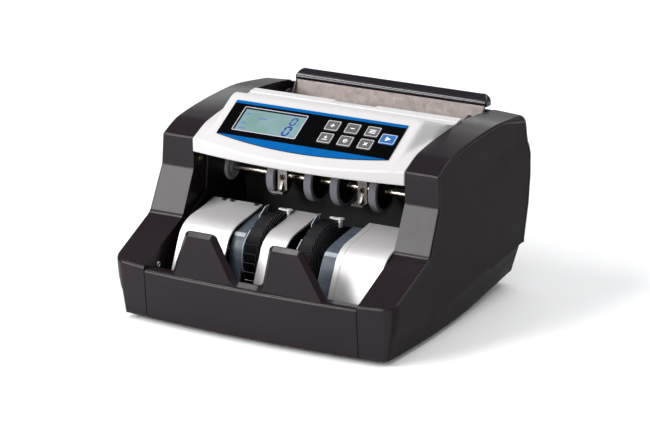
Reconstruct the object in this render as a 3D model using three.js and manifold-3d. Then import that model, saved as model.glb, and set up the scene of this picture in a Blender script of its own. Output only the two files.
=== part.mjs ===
// Banknote counting machine: a desktop counter with a rear hopper, a white control panel and
// a front bay where spiral-finned wheels stack the counted notes.
// Millimetres, +Z up, +X to the operator's right, the operator stands at -Y.
// Inside the body group, y is the depth behind the front face and z the height above the covers'
// lower edge; the group then puts the origin at the centre of the footprint, under the feet.

import * as THREE from "three";
import { mergeVertices } from "three/addons/utils/BufferGeometryUtils.js";
import Module from "manifold-3d";

const wasm = await Module();
wasm.setup();

// ---------------------------------------------------------------- driving dimensions

const DEPTH = 256; // front face to the rearmost shoulder
const FOOT_HEIGHT = 5;
const WALL = 2.5; // moulded covers
const SHEET = 2; // steel plates
const GAP = 0.3; // between pieces that touch

const BAY_HALF = 101.8; // inner face of the side covers
const CENTRE_HALF = 101.3; // half width of what fits between the side covers
const INNER_HALF = 98.5; // half width of what fits between the side frames
const FRONT_BOW = 4; // the front face bows this much between its middle and the bay's edge
const FRONT_LEAN = 3.6;
const FRONT_RADIUS = 11;
const REAR_RADIUS = 6;
const BAND_TOP = 43.2; // height of the front panel's ledge
const SHOULDER_DROP = 2.2; // how much the covers' tops fall towards the outside

const SHAFT_R = 3.5;
const COUNTING = { y: 141, z: 97.8, rollerR: 19, rollerWidth: 7.5, pulleyR: 16, feedPulleyR: 12 };
const FEED = { y: 184, z: 104, rollerR: 15, rollerWidth: 12, rollerX: 27, pulleyR: 12 };
const STACKER = { y: 80, z: 46, wheelR: 38, hubR: 14, wheelWidth: 17.4, wheelX: 25, pulleyR: 14 };
const MAIN_MOTOR = { y: 212, z: 44, r: 20, length: 60, pulleyR: 8 };
const STACKER_MOTOR = { y: 152, z: 24, r: 14, length: 42, pulleyR: 7 };
const ROLLER_X = [-49.7, -12.8, 12.8, 49.7];
const BRACKET_X = [-38.6, 39.3];
const MOTOR_SHAFT_R = 2.5;
const MOTOR_BORE = 14;
const BELT_THICKNESS = 1.6;
const DRIVE_PLANE = 110; // middle of the main and stacker belts
const FEED_BELT_PLANE = 120.5;
const BELT_WIDTH = 6;

const VISOR = { middle: 72.5, bow: 10.5, back: 186, bottom: 126 }; // the white cover's outline
const PANEL = { y: 108.45, z: 152.2, tilt: THREE.MathUtils.degToRad(30.45) };
const OVERLAY = { halfWidth: 82.6, halfHeight: 20.1, bow: 9, thickness: 0.7 };
const LCD = { x0: -70.5, x1: -9.9, halfHeight: 13.3 };
const KEY = { width: 13, height: 11.5, top: 1.5, bottom: -4.6 };
const KEY_CENTRES = {
  key_plus: [17.5, 6.9],
  key_minus: [36.4, 6.9],
  key_batch: [55.5, 6.9],
  key_add: [17.5, -7.7],
  key_light: [36.4, -7.7],
  key_clear: [55.5, -7.7],
};
const START_KEY = { x: 72.5, s: 1.3, width: 14.8, height: 11.2 };

const GUARD = { y: 3.2, thickness: 5, top: 83, base: 62, topLeft: 13.5, topRight: 40 };
const GUARD_X = [-74.6, 10.9];
const PLATES = {
  stacker_plate_left: [-94, -46.3],
  stacker_plate_middle: [-13.7, 8.7],
  stacker_plate_right: [57.3, 98.2],
};
const WHEEL_GUARDS = { wheel_guard_left: [-45.9, -34.6], wheel_guard_right: [44.4, 56.9] };
const FIN_COUNT = 16;
const FIN = { half: 1.1, turn: 2, power: 1.15, steps: 5 }; // half thickness, radians of sweep

const KNOB = { y: 173, r: 10, bottom: 136, top: 150 };
const INLET = { x: 66, z: 26, halfWidth: 14, halfHeight: 10, depth: 20, back: 246.6 };
const ROCKER = { x: 34, z: 26, y: 243.4, halfWidth: 6, halfHeight: 9.5 };
const GUIDE = { x: 88, y0: 198, y1: 222 };
const TRAY = { front: [170, 113.8], back: [234, 128] };
const VENT = { x0: -80, x1: -15, z0: 60, pitch: 7, height: 3, count: 7 };
const FEET = [
  [-96, 30],
  [96, 30],
  [-88, 222],
  [88, 222],
];

// ---------------------------------------------------------------- geometry helpers

function solid(geometry) {
  const bare = geometry.clone();
  bare.deleteAttribute("normal");
  bare.deleteAttribute("uv");
  const merged = mergeVertices(bare, 1e-4);
  const vertProperties = new Float32Array(merged.attributes.position.array);
  const triVerts = new Uint32Array(merged.index.array);
  return new wasm.Manifold(new wasm.Mesh({ numProp: 3, vertProperties, triVerts }));
}

function geometryOf(manifold) {
  const mesh = manifold.getMesh();
  const geometry = new THREE.BufferGeometry();
  geometry.setAttribute("position", new THREE.BufferAttribute(mesh.vertProperties, 3));
  geometry.setIndex(new THREE.BufferAttribute(mesh.triVerts, 1));
  const flat = geometry.toNonIndexed();
  flat.computeVertexNormals();
  return flat;
}

// The points of a polygon whose corners [a, b, radius] are rounded where a radius is given.
function rounded(corners, segments = 4) {
  return corners.flatMap(([a, b, radius], i) => {
    const corner = new THREE.Vector2(a, b);
    if (!radius) return [corner];
    const before = corners.at(i - 1);
    const after = corners[(i + 1) % corners.length];
    const back = new THREE.Vector2(before[0], before[1]).sub(corner).normalize();
    const on = new THREE.Vector2(after[0], after[1]).sub(corner).normalize();
    const half = Math.acos(THREE.MathUtils.clamp(back.dot(on), -1, 1)) / 2;
    const reach = radius / Math.tan(half);
    const curve = new THREE.QuadraticBezierCurve(
      corner.clone().addScaledVector(back, reach),
      corner,
      corner.clone().addScaledVector(on, reach),
    );
    return curve.getPoints(segments);
  });
}

function polygon(corners) {
  return corners.map(([a, b]) => new THREE.Vector2(a, b));
}

function extruded(points, depth, holes = []) {
  const shape = new THREE.Shape(points);
  shape.holes = holes.map((hole) => new THREE.Path(hole));
  return new THREE.ExtrudeGeometry(shape, { depth, bevelEnabled: false });
}

// A prism along X of points (y, z).
function prismX(points, x0, x1) {
  const turn = new THREE.Matrix4().set(0, 0, 1, x0, 1, 0, 0, 0, 0, 1, 0, 0, 0, 0, 0, 1);
  return solid(extruded(points, x1 - x0).applyMatrix4(turn));
}

// A prism along Y of points (x, z).
function prismY(points, y0, y1) {
  return solid(extruded(points, y1 - y0).rotateX(Math.PI / 2).translate(0, y1, 0));
}

// A prism along Z of points (x, y).
function prismZ(points, z0, z1, holes = []) {
  return solid(extruded(points, z1 - z0, holes).translate(0, 0, z0));
}

function box(x0, x1, y0, y1, z0, z1) {
  const block = new THREE.BoxGeometry(x1 - x0, y1 - y0, z1 - z0);
  return solid(block.translate((x0 + x1) / 2, (y0 + y1) / 2, (z0 + z1) / 2));
}

function rodX(y, z, x0, x1, radius, sides = 16) {
  const rod = new THREE.CylinderGeometry(radius, radius, x1 - x0, sides);
  return solid(rod.rotateZ(Math.PI / 2).translate((x0 + x1) / 2, y, z));
}

function rodZ(x, y, z0, z1, radius, sides = 16) {
  const rod = new THREE.CylinderGeometry(radius, radius, z1 - z0, sides);
  return solid(rod.rotateX(Math.PI / 2).translate(x, y, (z0 + z1) / 2));
}

// A closed skin through rings of the same number of points, with a flat or gently bent cap at
// each end. plane gives the two coordinates in which the end caps are filled.
function loft(rings, plane) {
  const count = rings[0].length;
  const position = rings.flat(2);
  const index = [];
  for (let r = 0; r + 1 < rings.length; r++) {
    for (let i = 0; i < count; i++) {
      const a = r * count + i;
      const b = r * count + ((i + 1) % count);
      index.push(a, b, a + count, b, b + count, a + count);
    }
  }
  const last = (rings.length - 1) * count;
  const outline = rings[0].map((p) => new THREE.Vector2(p[plane[0]], p[plane[1]]));
  const cap = THREE.ShapeUtils.triangulateShape(outline, []);
  const area = THREE.ShapeUtils.area(outline);
  cap.forEach(([a, b, c]) => index.push(a, c, b, last + a, last + b, last + c));
  const geometry = new THREE.BufferGeometry();
  geometry.setAttribute("position", new THREE.Float32BufferAttribute(position, 3));
  geometry.setIndex(area > 0 ? index : index.reverse());
  return solid(geometry);
}

function clampedRamp(value, from, to) {
  return THREE.MathUtils.clamp((value - from) / (to - from), 0, 1);
}

// ---------------------------------------------------------------- outer form of the machine

// Half width of a boat-like outline, widest near the front and drawn in by taper at the rear.
function boatHalf(y, taper) {
  const fromWidest = y - 85;
  return 128 - (fromWidest > 0 ? taper * (fromWidest / 165) ** 2 : 1.5 * (fromWidest / 60) ** 2);
}

const creaseHeight = (y) => 22 + 15 * clampedRamp(y, 90, 240);
const creaseHalf = (y) => 130 + 3.5 * clampedRamp(y, 20, 130);
const creaseStep = (y) => 3.7 * clampedRamp(y, 100, 220);
const undercutHeight = (y) => 2 + 7 * clampedRamp(y, 120, 245);

// Half width at the undercut's upper edge, on the facet below the lower crease.
function undercutHalf(y) {
  const share = undercutHeight(y) / (creaseHeight(y) - 2);
  return THREE.MathUtils.lerp(boatHalf(y, 9), creaseHalf(y) - creaseStep(y), share);
}

// Levels of the outer skin, from the lower edge up.
const LEVELS = [
  { height: () => 0, front: FRONT_LEAN, half: (y) => boatHalf(y, 19), back: 246 },
  { height: undercutHeight, front: 3.4, half: undercutHalf, back: 246 },
  {
    height: (y) => creaseHeight(y) - 2,
    front: 1.8,
    half: (y) => creaseHalf(y) - creaseStep(y),
    back: 246,
  },
  { height: creaseHeight, front: 1.6, half: creaseHalf, back: 246 },
  { height: () => 40, front: 0, half: () => 134, back: 246.5 },
  { height: () => 71, front: 0, half: () => 135.6, back: 251 },
  { height: () => 95, front: 0, half: () => 134.9, back: 255 },
  { height: () => 117, front: 0, half: () => 134.1, back: DEPTH },
  { height: () => 122, front: 0, half: () => 133.7, back: 255.2 },
  { height: () => 126, front: 0, half: () => 132.9, back: 253.6 },
  { height: () => 140, front: 0, half: () => 132.2, back: 252 },
  { height: () => 165, front: 0, half: () => 131, back: 249 },
];
const SIDE_STATIONS = [45, 75, 100, 130, 160, 190, 215];

// One level's closed outline, moved in by inset.
function outline(level, inset) {
  const front = (x) => level.front + FRONT_BOW * (x / BAY_HALF) ** 2 + inset;
  const half = (y) => level.half(y) - inset;
  const frontX = half(FRONT_RADIUS) - FRONT_RADIUS;
  const frontY = front(frontX) + FRONT_RADIUS;
  const back = level.back - inset;
  const rearX = half(back - REAR_RADIUS) - REAR_RADIUS;
  const right = [40, 75, BAY_HALF].map((x) => [x, front(x)]);
  for (let i = 0; i <= 5; i++) {
    const angle = (i / 5 - 1) * (Math.PI / 2);
    right.push([frontX + FRONT_RADIUS * Math.cos(angle), frontY + FRONT_RADIUS * Math.sin(angle)]);
  }
  SIDE_STATIONS.forEach((y) => right.push([half(y), y]));
  for (let i = 0; i <= 3; i++) {
    const angle = (i / 3) * (Math.PI / 2);
    right.push([
      rearX + REAR_RADIUS * Math.cos(angle),
      back - REAR_RADIUS + REAR_RADIUS * Math.sin(angle),
    ]);
  }
  const left = right.map(([x, y]) => [-x, y]).reverse();
  return [[0, front(0)], ...right, ...left].map(([x, y]) => [x, y, level.height(y)]);
}

function outerForm(inset) {
  const rings = LEVELS.map((level) => outline(level, inset));
  const below = rings[0].map(([x, y]) => [x, y, -10]);
  return loft(inset ? [below, ...rings] : rings, [0, 1]);
}

// The side covers' profile (depth, height), whose top falls by drop.
function coverProfile(drop, inset) {
  const top = (y, z) => [y, z - drop * clampedRamp(y, 95, 180) - inset];
  return [
    [-6, -12],
    [270, -12],
    [270, 118 - inset],
    [256.6 - inset, 123 - inset],
    [250.8 - inset, 149.3 - drop - inset, inset ? 0 : 8],
    top(219.7, 153.2),
    top(199, 155.2),
    top(184, 155.5),
    top(155.3, 153.4),
    top(129.2, 150.4),
    top(106.8, 146.6),
    top(97, 142.6),
    [85.1 + inset, 136.6 - inset / 2, inset ? 0 : 2.5],
    [84.2 + inset, 109.8, inset ? 0 : 4],
    [65.3 + inset, 71.9 - inset / 2, inset ? 0 : 9],
    [3.6, 44.7 - inset],
    [-6, 37 - inset],
  ];
}

function coverBlock(x0, x1, inset) {
  const ring = (x, drop) =>
    rounded(coverProfile(drop, inset)).map((point) => [x, point.x, point.y]);
  return loft([ring(x0, 0), ring(x1, SHOULDER_DROP)], [1, 2]);
}

function mirroredX(manifold) {
  return manifold.mirror([1, 0, 0]);
}

// The right side cover: a hollow pod, open underneath, with shaft holes in its inner wall.
function sideCover(shaftHoles) {
  const outer = coverBlock(BAY_HALF, 140, 0).intersect(outerForm(0));
  const hollow = coverBlock(BAY_HALF + WALL, 140, WALL).intersect(outerForm(WALL));
  const panClearance = box(BAY_HALF - 1, BAY_HALF + WALL + 1, 9, 244, -5, 3.3);
  let cover = outer.subtract(hollow).subtract(panClearance);
  shaftHoles.forEach(({ y, z, radius }) => {
    cover = cover.subtract(rodX(y, z, BAY_HALF - 1, BAY_HALF + WALL + 1, radius, 20));
  });
  return cover;
}

// ---------------------------------------------------------------- covers

function guardOutline(x) {
  return rounded([
    [x, BAND_TOP - 2],
    [x + GUARD.base, BAND_TOP - 2],
    [x + GUARD.base, BAND_TOP],
    [x + GUARD.topRight, GUARD.top, 4],
    [x + GUARD.topLeft, GUARD.top, 4],
    [x, BAND_TOP],
  ]);
}

function frontPanel() {
  const depth = 14;
  const profile = polygon([
    [-6, -5],
    [depth, -5],
    [depth, BAND_TOP],
    [2.4, BAND_TOP],
    [-6, 36.5],
  ]);
  const block = prismX(profile, -CENTRE_HALF, CENTRE_HALF).intersect(outerForm(0));
  const side = CENTRE_HALF - WALL;
  const hollow = outerForm(WALL).intersect(box(-side, side, -5, depth + 5, -20, BAND_TOP - 4));
  const behind = box(-200, 200, 9, 30, -20, 3.3);
  let panel = block.subtract(hollow).subtract(behind);
  GUARD_X.forEach((x) => {
    panel = panel.add(prismY(guardOutline(x), GUARD.y, GUARD.y + GUARD.thickness));
  });
  return panel;
}

function rearCover() {
  const skin = [
    [246, 0],
    [246.5, 44],
    [251, 71],
    [255, 95],
    [DEPTH, 117],
    [255.2, 122],
    [253.6, 126],
    [250.2, 148],
  ];
  const inner = skin.map(([y, z]) => [y - WALL, z]).reverse();
  let cover = prismX(polygon([...skin, ...inner]), -CENTRE_HALF, CENTRE_HALF);
  cover = cover.subtract(box(-200, 200, 200, 243.8, -5, 3.3));
  cover = cover.subtract(inletHole()).subtract(rockerHole());
  for (let i = 0; i < VENT.count; i++) {
    const z = VENT.z0 + i * VENT.pitch;
    cover = cover.subtract(box(VENT.x0, VENT.x1, 230, 260, z, z + VENT.height));
  }
  return cover;
}

function basePan() {
  const ring = (z) => outline(LEVELS[0], WALL + GAP).map(([x, y]) => [x, y, z]);
  let pan = loft([ring(0), ring(3)], [0, 1]);
  FEET.forEach(([x, y]) => {
    pan = pan.subtract(rodZ(x, y, -1, 4, 2.8, 16));
  });
  return pan;
}

function rubberFoot() {
  const profile = [
    [0, -FOOT_HEIGHT],
    [8, -FOOT_HEIGHT],
    [9, -FOOT_HEIGHT + 1],
    [9, -GAP],
    [2.5, -GAP],
    [2.5, 4],
    [0, 4],
  ];
  return solid(new THREE.LatheGeometry(polygon(profile), 16).rotateX(Math.PI / 2));
}

// ---------------------------------------------------------------- control panel

// Front edge of the white cover, bowed towards the operator.
function visorOutline(inset) {
  const middle = VISOR.middle + inset;
  const half = CENTRE_HALF - GAP - inset;
  const points = [];
  for (let i = -6; i <= 6; i++) {
    const share = i / 6;
    points.push(new THREE.Vector2(share * half, middle + VISOR.bow * share * share));
  }
  const back = VISOR.back - inset;
  return [...points, new THREE.Vector2(half, back), new THREE.Vector2(-half, back)];
}

function deckProfile(inset) {
  const bottom = inset ? VISOR.bottom - 26 : VISOR.bottom;
  return polygon([
    [60, bottom],
    [200, bottom],
    [200, 155.6 - inset],
    [184, 155.5 - inset],
    [155.3, 153.4 - inset],
    [129.2, 150.4 - inset],
    [106.8, 146.6 - inset],
    [97.8, 143.6 - inset],
    [88.1, 139.2 - inset],
    [60, 126.5 - inset],
  ]);
}

// The raised, tilted platform that carries the overlay, in the panel's own frame.
function platform(inset) {
  const front = -48;
  const ring = (n, half, back, radius) =>
    rounded(
      [
        [-half, front],
        [half, front],
        [half, back, radius],
        [-half, back, radius],
      ],
      5,
    ).map((point) => [point.x, point.y, n]);
  const top = ring(-GAP - inset, 88.5 - inset, 29 - inset, 9);
  const shoulder = ring(-1.8 - inset, 90.5 - inset, 31 - inset, 10);
  const base = ring(-26, 98.5 - inset, 52 - inset, 12);
  return loft([base, shoulder, top], [0, 1]);
}

function toPanel(manifold) {
  const degrees = THREE.MathUtils.radToDeg(PANEL.tilt);
  return manifold.rotate([degrees, 0, 0]).translate([0, PANEL.y, PANEL.z]);
}

function controlPanelCover() {
  const half = CENTRE_HALF - GAP;
  const block = (inset) =>
    prismX(deckProfile(inset), -half + inset, half - inset)
      .add(toPanel(platform(inset)).intersect(box(-half, half, 0, 200, inset ? 100 : VISOR.bottom, 200)))
      .intersect(prismZ(visorOutline(inset), 90, 200));
  const window = toPanel(box(-75, 81, -16.5, 16.5, -9, 2));
  const knobRecess = box(-17, 17, KNOB.y - KNOB.r - 1.5, 190, 120, 170);
  return block(0).subtract(block(WALL)).subtract(window).subtract(knobRecess);
}

function keyOutline(x, s, width, height, grow) {
  const w = width / 2 + grow;
  const h = height / 2 + grow;
  return rounded(
    [
      [x - w, s - h, 1],
      [x + w, s - h, 1],
      [x + w, s + h, 1],
      [x - w, s + h, 1],
    ],
    2,
  );
}

function overlay() {
  const { halfWidth, halfHeight, bow } = OVERLAY;
  const points = [
    new THREE.Vector2(halfWidth, halfHeight),
    new THREE.Vector2(-halfWidth, halfHeight),
  ];
  for (let i = -6; i <= 6; i++) {
    const share = i / 6;
    points.push(new THREE.Vector2(share * halfWidth, -halfHeight - bow * (1 - share * share)));
  }
  const keys = Object.values(KEY_CENTRES).map(([x, s]) =>
    keyOutline(x, s, KEY.width, KEY.height, GAP),
  );
  const start = keyOutline(START_KEY.x, START_KEY.s, START_KEY.width, START_KEY.height, GAP);
  const display = polygon([
    [LCD.x0, -LCD.halfHeight],
    [LCD.x1, -LCD.halfHeight],
    [LCD.x1, LCD.halfHeight],
    [LCD.x0, LCD.halfHeight],
  ]);
  return prismZ(points, 0, OVERLAY.thickness, [...keys, start, display]);
}

function lcdModule() {
  const { x0, x1, halfHeight: h } = LCD;
  const can = box(x0 - 2, x1 + 2, -h - 2, h + 2, -6, -0.6);
  return can.add(box(x0 + GAP, x1 - GAP, -h + GAP, h - GAP, -1, GAP));
}

// ---------------------------------------------------------------- front bay

// Outline of a bent plate: its upper skin (depth, height) and the same skin set back.
function bentPlate(skin, thickness) {
  const curve = new THREE.CatmullRomCurve3(skin.map(([y, z]) => new THREE.Vector3(y, z, 0)));
  const points = curve.getPoints(14);
  const inner = points.map((point, i) => {
    const tangent = curve.getTangent(i / (points.length - 1));
    return new THREE.Vector2(point.x - tangent.y * thickness, point.y + tangent.x * thickness);
  });
  return [...points.map((point) => new THREE.Vector2(point.x, point.y)), ...inner.reverse()];
}

const PLATE_SKIN = [
  [105, 80.5],
  [84, 77],
  [62, 73.5],
  [50.5, 66.5],
  [44.5, 56],
  [36, 38],
  [30, 20],
  [27, 6],
];

function stackerPlate(x0, x1) {
  return prismX(bentPlate(PLATE_SKIN, 1.6), x0, x1);
}

function wheelGuard(x0, x1) {
  const skin = PLATE_SKIN.slice(0, -1).map(([y, z]) => [y + 3.5, z - 4.5]);
  const blade = polygon([
    [100, 76.5],
    [92, 82],
    [76, 80],
    [58, 70],
    [60, 60],
  ]);
  const edge = x0 < 0 ? [x1 - 1.5, x1] : [x0, x0 + 1.5];
  return prismX(bentPlate(skin, 2.4), x0, x1).add(prismX(blade, ...edge));
}

// A stacker wheel: a hub ring with swept-back spiral fins.
function stackerWheel(x) {
  const x0 = x - STACKER.wheelWidth / 2;
  const x1 = x + STACKER.wheelWidth / 2;
  const { hubR, wheelR } = STACKER;
  const fin = [];
  const finPoint = (share, side) => {
    const radius = hubR - 2 + (wheelR - hubR + 2) * share;
    const angle = side / radius - FIN.turn * share ** FIN.power;
    return new THREE.Vector2(radius * Math.cos(angle), radius * Math.sin(angle));
  };
  for (let i = 0; i <= FIN.steps; i++) fin.push(finPoint(i / FIN.steps, FIN.half));
  for (let i = FIN.steps; i >= 0; i--) fin.push(finPoint(i / FIN.steps, -FIN.half));
  let wheel = rodX(0, 0, x0, x1, hubR, 24);
  for (let i = 0; i < FIN_COUNT; i++) {
    const turn = (i / FIN_COUNT) * 360;
    wheel = wheel.add(prismX(fin, x0 + 1, x1 - 1).rotate([turn, 0, 0]));
  }
  return wheel
    .subtract(rodX(0, 0, x0 - 1, x1 + 1, SHAFT_R + GAP))
    .translate([0, STACKER.y, STACKER.z]);
}

function sensorBracket(x) {
  const half = 4.5;
  const y = 125;
  const plate = box(x - half, x + half, y, y + 1.5, 90, 122.7);
  const foot = box(x - half - 1, x + half + 1, y - 9, y + 1.5, 88.5, 90.3);
  const gusset = prismX(
    polygon([
      [y, 90],
      [y, 97],
      [y - 4, 90],
    ]),
    x - 1,
    x + 1,
  );
  const hole = new THREE.CylinderGeometry(1.6, 1.6, 6, 16).translate(x, y, 100.5);
  return plate.add(foot).add(gusset).subtract(solid(hole));
}

function upperDeck() {
  return box(-INNER_HALF, INNER_HALF, 89, 140, 123.1, 125.1);
}

function bayRearWall() {
  const skin = [
    [163.5, 52],
    [163.5, 104],
    [166, 109],
  ];
  const behind = skin.map(([y, z]) => [y + 2, z - 1]).reverse();
  return prismX(polygon([...skin, ...behind]), -INNER_HALF, INNER_HALF);
}

// ---------------------------------------------------------------- drive

function pulley(y, z, middle, radius, width = BELT_WIDTH + 2) {
  const x0 = middle - width / 2;
  const x1 = middle + width / 2;
  return rodX(y, z, x0, x1, radius, 20)
    .add(rodX(y, z, x0 - 0.8, x0, radius + 1.2, 20))
    .add(rodX(y, z, x1, x1 + 0.8, radius + 1.2, 20));
}

function bored(manifold, y, z, x0, x1, radius) {
  return manifold.subtract(rodX(y, z, x0, x1, radius));
}

// The taut outline round two circles, in the plane of depth and height.
function tautOutline(a, b, grow) {
  const span = Math.hypot(b.y - a.y, b.z - a.z);
  const heading = Math.atan2(b.z - a.z, b.y - a.y);
  const lean = Math.acos((a.radius - b.radius) / span);
  const arc = (wheel, from, to) =>
    Array.from({ length: 11 }, (_, i) => {
      const angle = from + ((to - from) * i) / 10;
      const radius = wheel.radius + grow;
      return new THREE.Vector2(
        wheel.y + radius * Math.cos(angle),
        wheel.z + radius * Math.sin(angle),
      );
    });
  return [
    ...arc(a, heading + lean, heading + 2 * Math.PI - lean),
    ...arc(b, heading - lean, heading + lean),
  ];
}

// A belt's loop round two pulleys.
function belt(a, b, middle) {
  const loop = (grow, width) =>
    prismX(tautOutline(a, b, grow), middle - width / 2, middle + width / 2);
  return loop(GAP + BELT_THICKNESS, BELT_WIDTH).subtract(loop(GAP, BELT_WIDTH + 2));
}

function countingRoller(x) {
  const { y, z, rollerR, rollerWidth } = COUNTING;
  const x0 = x - rollerWidth / 2;
  const x1 = x + rollerWidth / 2;
  const tyre = rodX(y, z, x0, x1, rollerR, 30);
  const hub = rodX(y, z, x0 - 1, x1 + 1, 7.5, 16);
  return bored(tyre.add(hub), y, z, x0 - 5, x1 + 5, SHAFT_R + GAP);
}

function countingShaft() {
  const { y, z } = COUNTING;
  const shaft = rodX(y, z, -126, 104, SHAFT_R);
  return shaft.add(rodX(y, z, -98.2, -95, 12, 24));
}

function feedShaft() {
  const { y, z, pulleyR } = FEED;
  return rodX(y, z, -126, 104, SHAFT_R).add(pulley(y, z, -FEED_BELT_PLANE, pulleyR));
}

function feedRoller(x) {
  const { y, z, rollerR, rollerWidth } = FEED;
  const x0 = x - rollerWidth / 2;
  const x1 = x + rollerWidth / 2;
  return bored(rodX(y, z, x0, x1, rollerR, 24), y, z, x0 - 1, x1 + 1, SHAFT_R + GAP);
}

function countingPulley() {
  const { y, z, pulleyR, feedPulleyR } = COUNTING;
  const both = pulley(y, z, -DRIVE_PLANE, pulleyR).add(
    pulley(y, z, -FEED_BELT_PLANE, feedPulleyR),
  );
  const hub = rodX(y, z, -FEED_BELT_PLANE, -DRIVE_PLANE, 7);
  return bored(both.add(hub), y, z, -130, -100, SHAFT_R + GAP);
}

function motor({ y, z, r, length }, side) {
  const outer = side * (INNER_HALF - 0.5);
  const inner = outer - side * length;
  const can = rodX(y, z, Math.min(outer, inner), Math.max(outer, inner), r, 24);
  const boss = rodX(y, z, inner - 3, inner + 3, r * 0.4);
  const boreEnds = [outer + side, outer - side * MOTOR_BORE];
  const bore = rodX(y, z, Math.min(...boreEnds), Math.max(...boreEnds), MOTOR_SHAFT_R + GAP, 16);
  return can.add(boss).subtract(bore);
}

function motorPulley({ y, z, pulleyR }, side) {
  const inner = side * (INNER_HALF - 10);
  const outer = side * (DRIVE_PLANE + BELT_WIDTH);
  const shaft = rodX(y, z, Math.min(inner, outer), Math.max(inner, outer), MOTOR_SHAFT_R, 16);
  return shaft.add(pulley(y, z, side * DRIVE_PLANE, pulleyR));
}

function sideFrame(motorPlace) {
  const profile = polygon([
    [66, 3.6],
    [236, 3.6],
    [236, 108],
    [210, 124],
    [104, 124],
    [100, 88],
    [66, 66],
  ]);
  let frame = prismX(profile, INNER_HALF + 0.5, INNER_HALF + 0.5 + SHEET);
  [COUNTING, FEED, STACKER].forEach(({ y, z }) => {
    frame = frame.subtract(rodX(y, z, INNER_HALF - 1, INNER_HALF + 5, SHAFT_R + GAP));
  });
  return frame.subtract(
    rodX(motorPlace.y, motorPlace.z, INNER_HALF - 1, INNER_HALF + 5, 6, 20),
  );
}

// ---------------------------------------------------------------- hopper and rear

function feedTray() {
  const [y0, z0] = TRAY.front;
  const [y1, z1] = TRAY.back;
  const profile = polygon([
    [y0, z0],
    [y1, z1],
    [y1, z1 - SHEET],
    [y0, z0 - SHEET],
  ]);
  let tray = prismX(profile, -INNER_HALF, INNER_HALF);
  [-1, 1].forEach((side) => {
    const x0 = side * FEED.rollerX - FEED.rollerWidth / 2 - 1;
    const x1 = side * FEED.rollerX + FEED.rollerWidth / 2 + 1;
    tray = tray.subtract(box(x0, x1, FEED.y - 17, FEED.y + 15, 100, 140));
  });
  return tray;
}

function hopperBackRest() {
  const sheet = polygon([
    [235, 124],
    [237, 124],
    [245.8, 155],
    [243.8, 155],
  ]);
  const half = 95;
  const lip = rounded([
    [-half, 151.6, 1],
    [half, 151.6, 1],
    [half, 161, 8],
    [-half, 161, 8],
  ]);
  return prismX(sheet, -half + 1.5, half - 1.5).add(prismY(lip, 243, 252));
}

// A movable note guide: a low fence standing on the hopper's floor.
function noteGuide(side) {
  const slope = (TRAY.back[1] - TRAY.front[1]) / (TRAY.back[0] - TRAY.front[0]);
  const floor = (y) => TRAY.front[1] + slope * (y - TRAY.front[0]) + GAP;
  const { y0, y1 } = GUIDE;
  const fence = rounded([
    [y0, floor(y0)],
    [y1, floor(y1)],
    [y1 + 4, floor(y1) + 24, 3],
    [y0 + 6, floor(y0) + 24, 3],
  ]);
  const foot = polygon([
    [y0, floor(y0)],
    [y1, floor(y1)],
    [y1, floor(y1) + 2],
    [y0, floor(y0) + 2],
  ]);
  const guide = prismX(fence, GUIDE.x, GUIDE.x + 2).add(prismX(foot, GUIDE.x - 6, GUIDE.x + 2));
  return side < 0 ? mirroredX(guide) : guide;
}

function gapKnob() {
  const ridges = 20;
  const rim = [];
  for (let i = 0; i < ridges * 2; i++) {
    const angle = (i / (ridges * 2)) * 2 * Math.PI;
    const radius = i % 2 ? KNOB.r : KNOB.r - 0.7;
    rim.push(new THREE.Vector2(radius * Math.cos(angle), KNOB.y + radius * Math.sin(angle)));
  }
  const stem = rodZ(0, KNOB.y, KNOB.bottom - 12, KNOB.bottom + 1, 3, 16);
  return prismZ(rim, KNOB.bottom, KNOB.top).add(stem);
}

function inletHole() {
  const { x, z, halfWidth: w, halfHeight: h } = INLET;
  return box(x - w - GAP, x + w + GAP, 235, 260, z - h - GAP, z + h + GAP);
}

function rockerHole() {
  const { x, z, halfWidth: w, halfHeight: h } = ROCKER;
  return box(x - w - 0.6, x + w + 0.6, 235, 260, z - h - 1, z + h + 1);
}

// A flush three-pin appliance inlet.
function powerInlet() {
  const { x, z, halfWidth: w, halfHeight: h, depth, back } = INLET;
  const socket = rounded([
    [x - 11, z - 7],
    [x + 11, z - 7],
    [x + 11, z + 2.5],
    [x + 6.5, z + 7],
    [x - 6.5, z + 7],
    [x - 11, z + 2.5],
  ]);
  let inlet = box(x - w, x + w, back - depth, back, z - h, z + h);
  inlet = inlet.subtract(prismY(socket, back - depth + 4, back + 1));
  const pins = [
    [-6.5, -2],
    [0, 1.5],
    [6.5, -2],
  ];
  pins.forEach(([dx, dz]) => {
    const pin = box(x + dx - 1, x + dx + 1, back - depth + 3, back - 5.5, z + dz - 2, z + dz + 2);
    inlet = inlet.add(pin);
  });
  return inlet;
}

function powerRocker() {
  const { x, y, z, halfWidth, halfHeight: h } = ROCKER;
  const profile = rounded([
    [-2.5, -h],
    [2.6, -h],
    [1.2, 0],
    [2.6, h],
    [-2.5, h],
    [-5, 0],
  ]);
  return prismX(profile, x - halfWidth, x + halfWidth).rotate([-8, 0, 0]).translate([0, y, z]);
}

// ---------------------------------------------------------------- electronics

function mainBoard() {
  let board = box(-92, 22, 158, 236, 7, 8.6);
  board = board.add(box(-80, -58, 166, 190, 8, 11)).add(box(-40, -22, 170, 188, 8, 11));
  board = board.add(box(-88, -62, 226, 234, 8, 16)).add(box(-10, 14, 164, 176, 8, 14));
  return board;
}

function transformer() {
  const core = box(34, 88, 176, 220, 6, 44);
  return core.add(box(42, 80, 171, 225, 12, 38));
}

function controlBoard() {
  return box(-76, 80, -17.5, 17.5, -8, -6.4);
}

// ---------------------------------------------------------------- assembly

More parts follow.
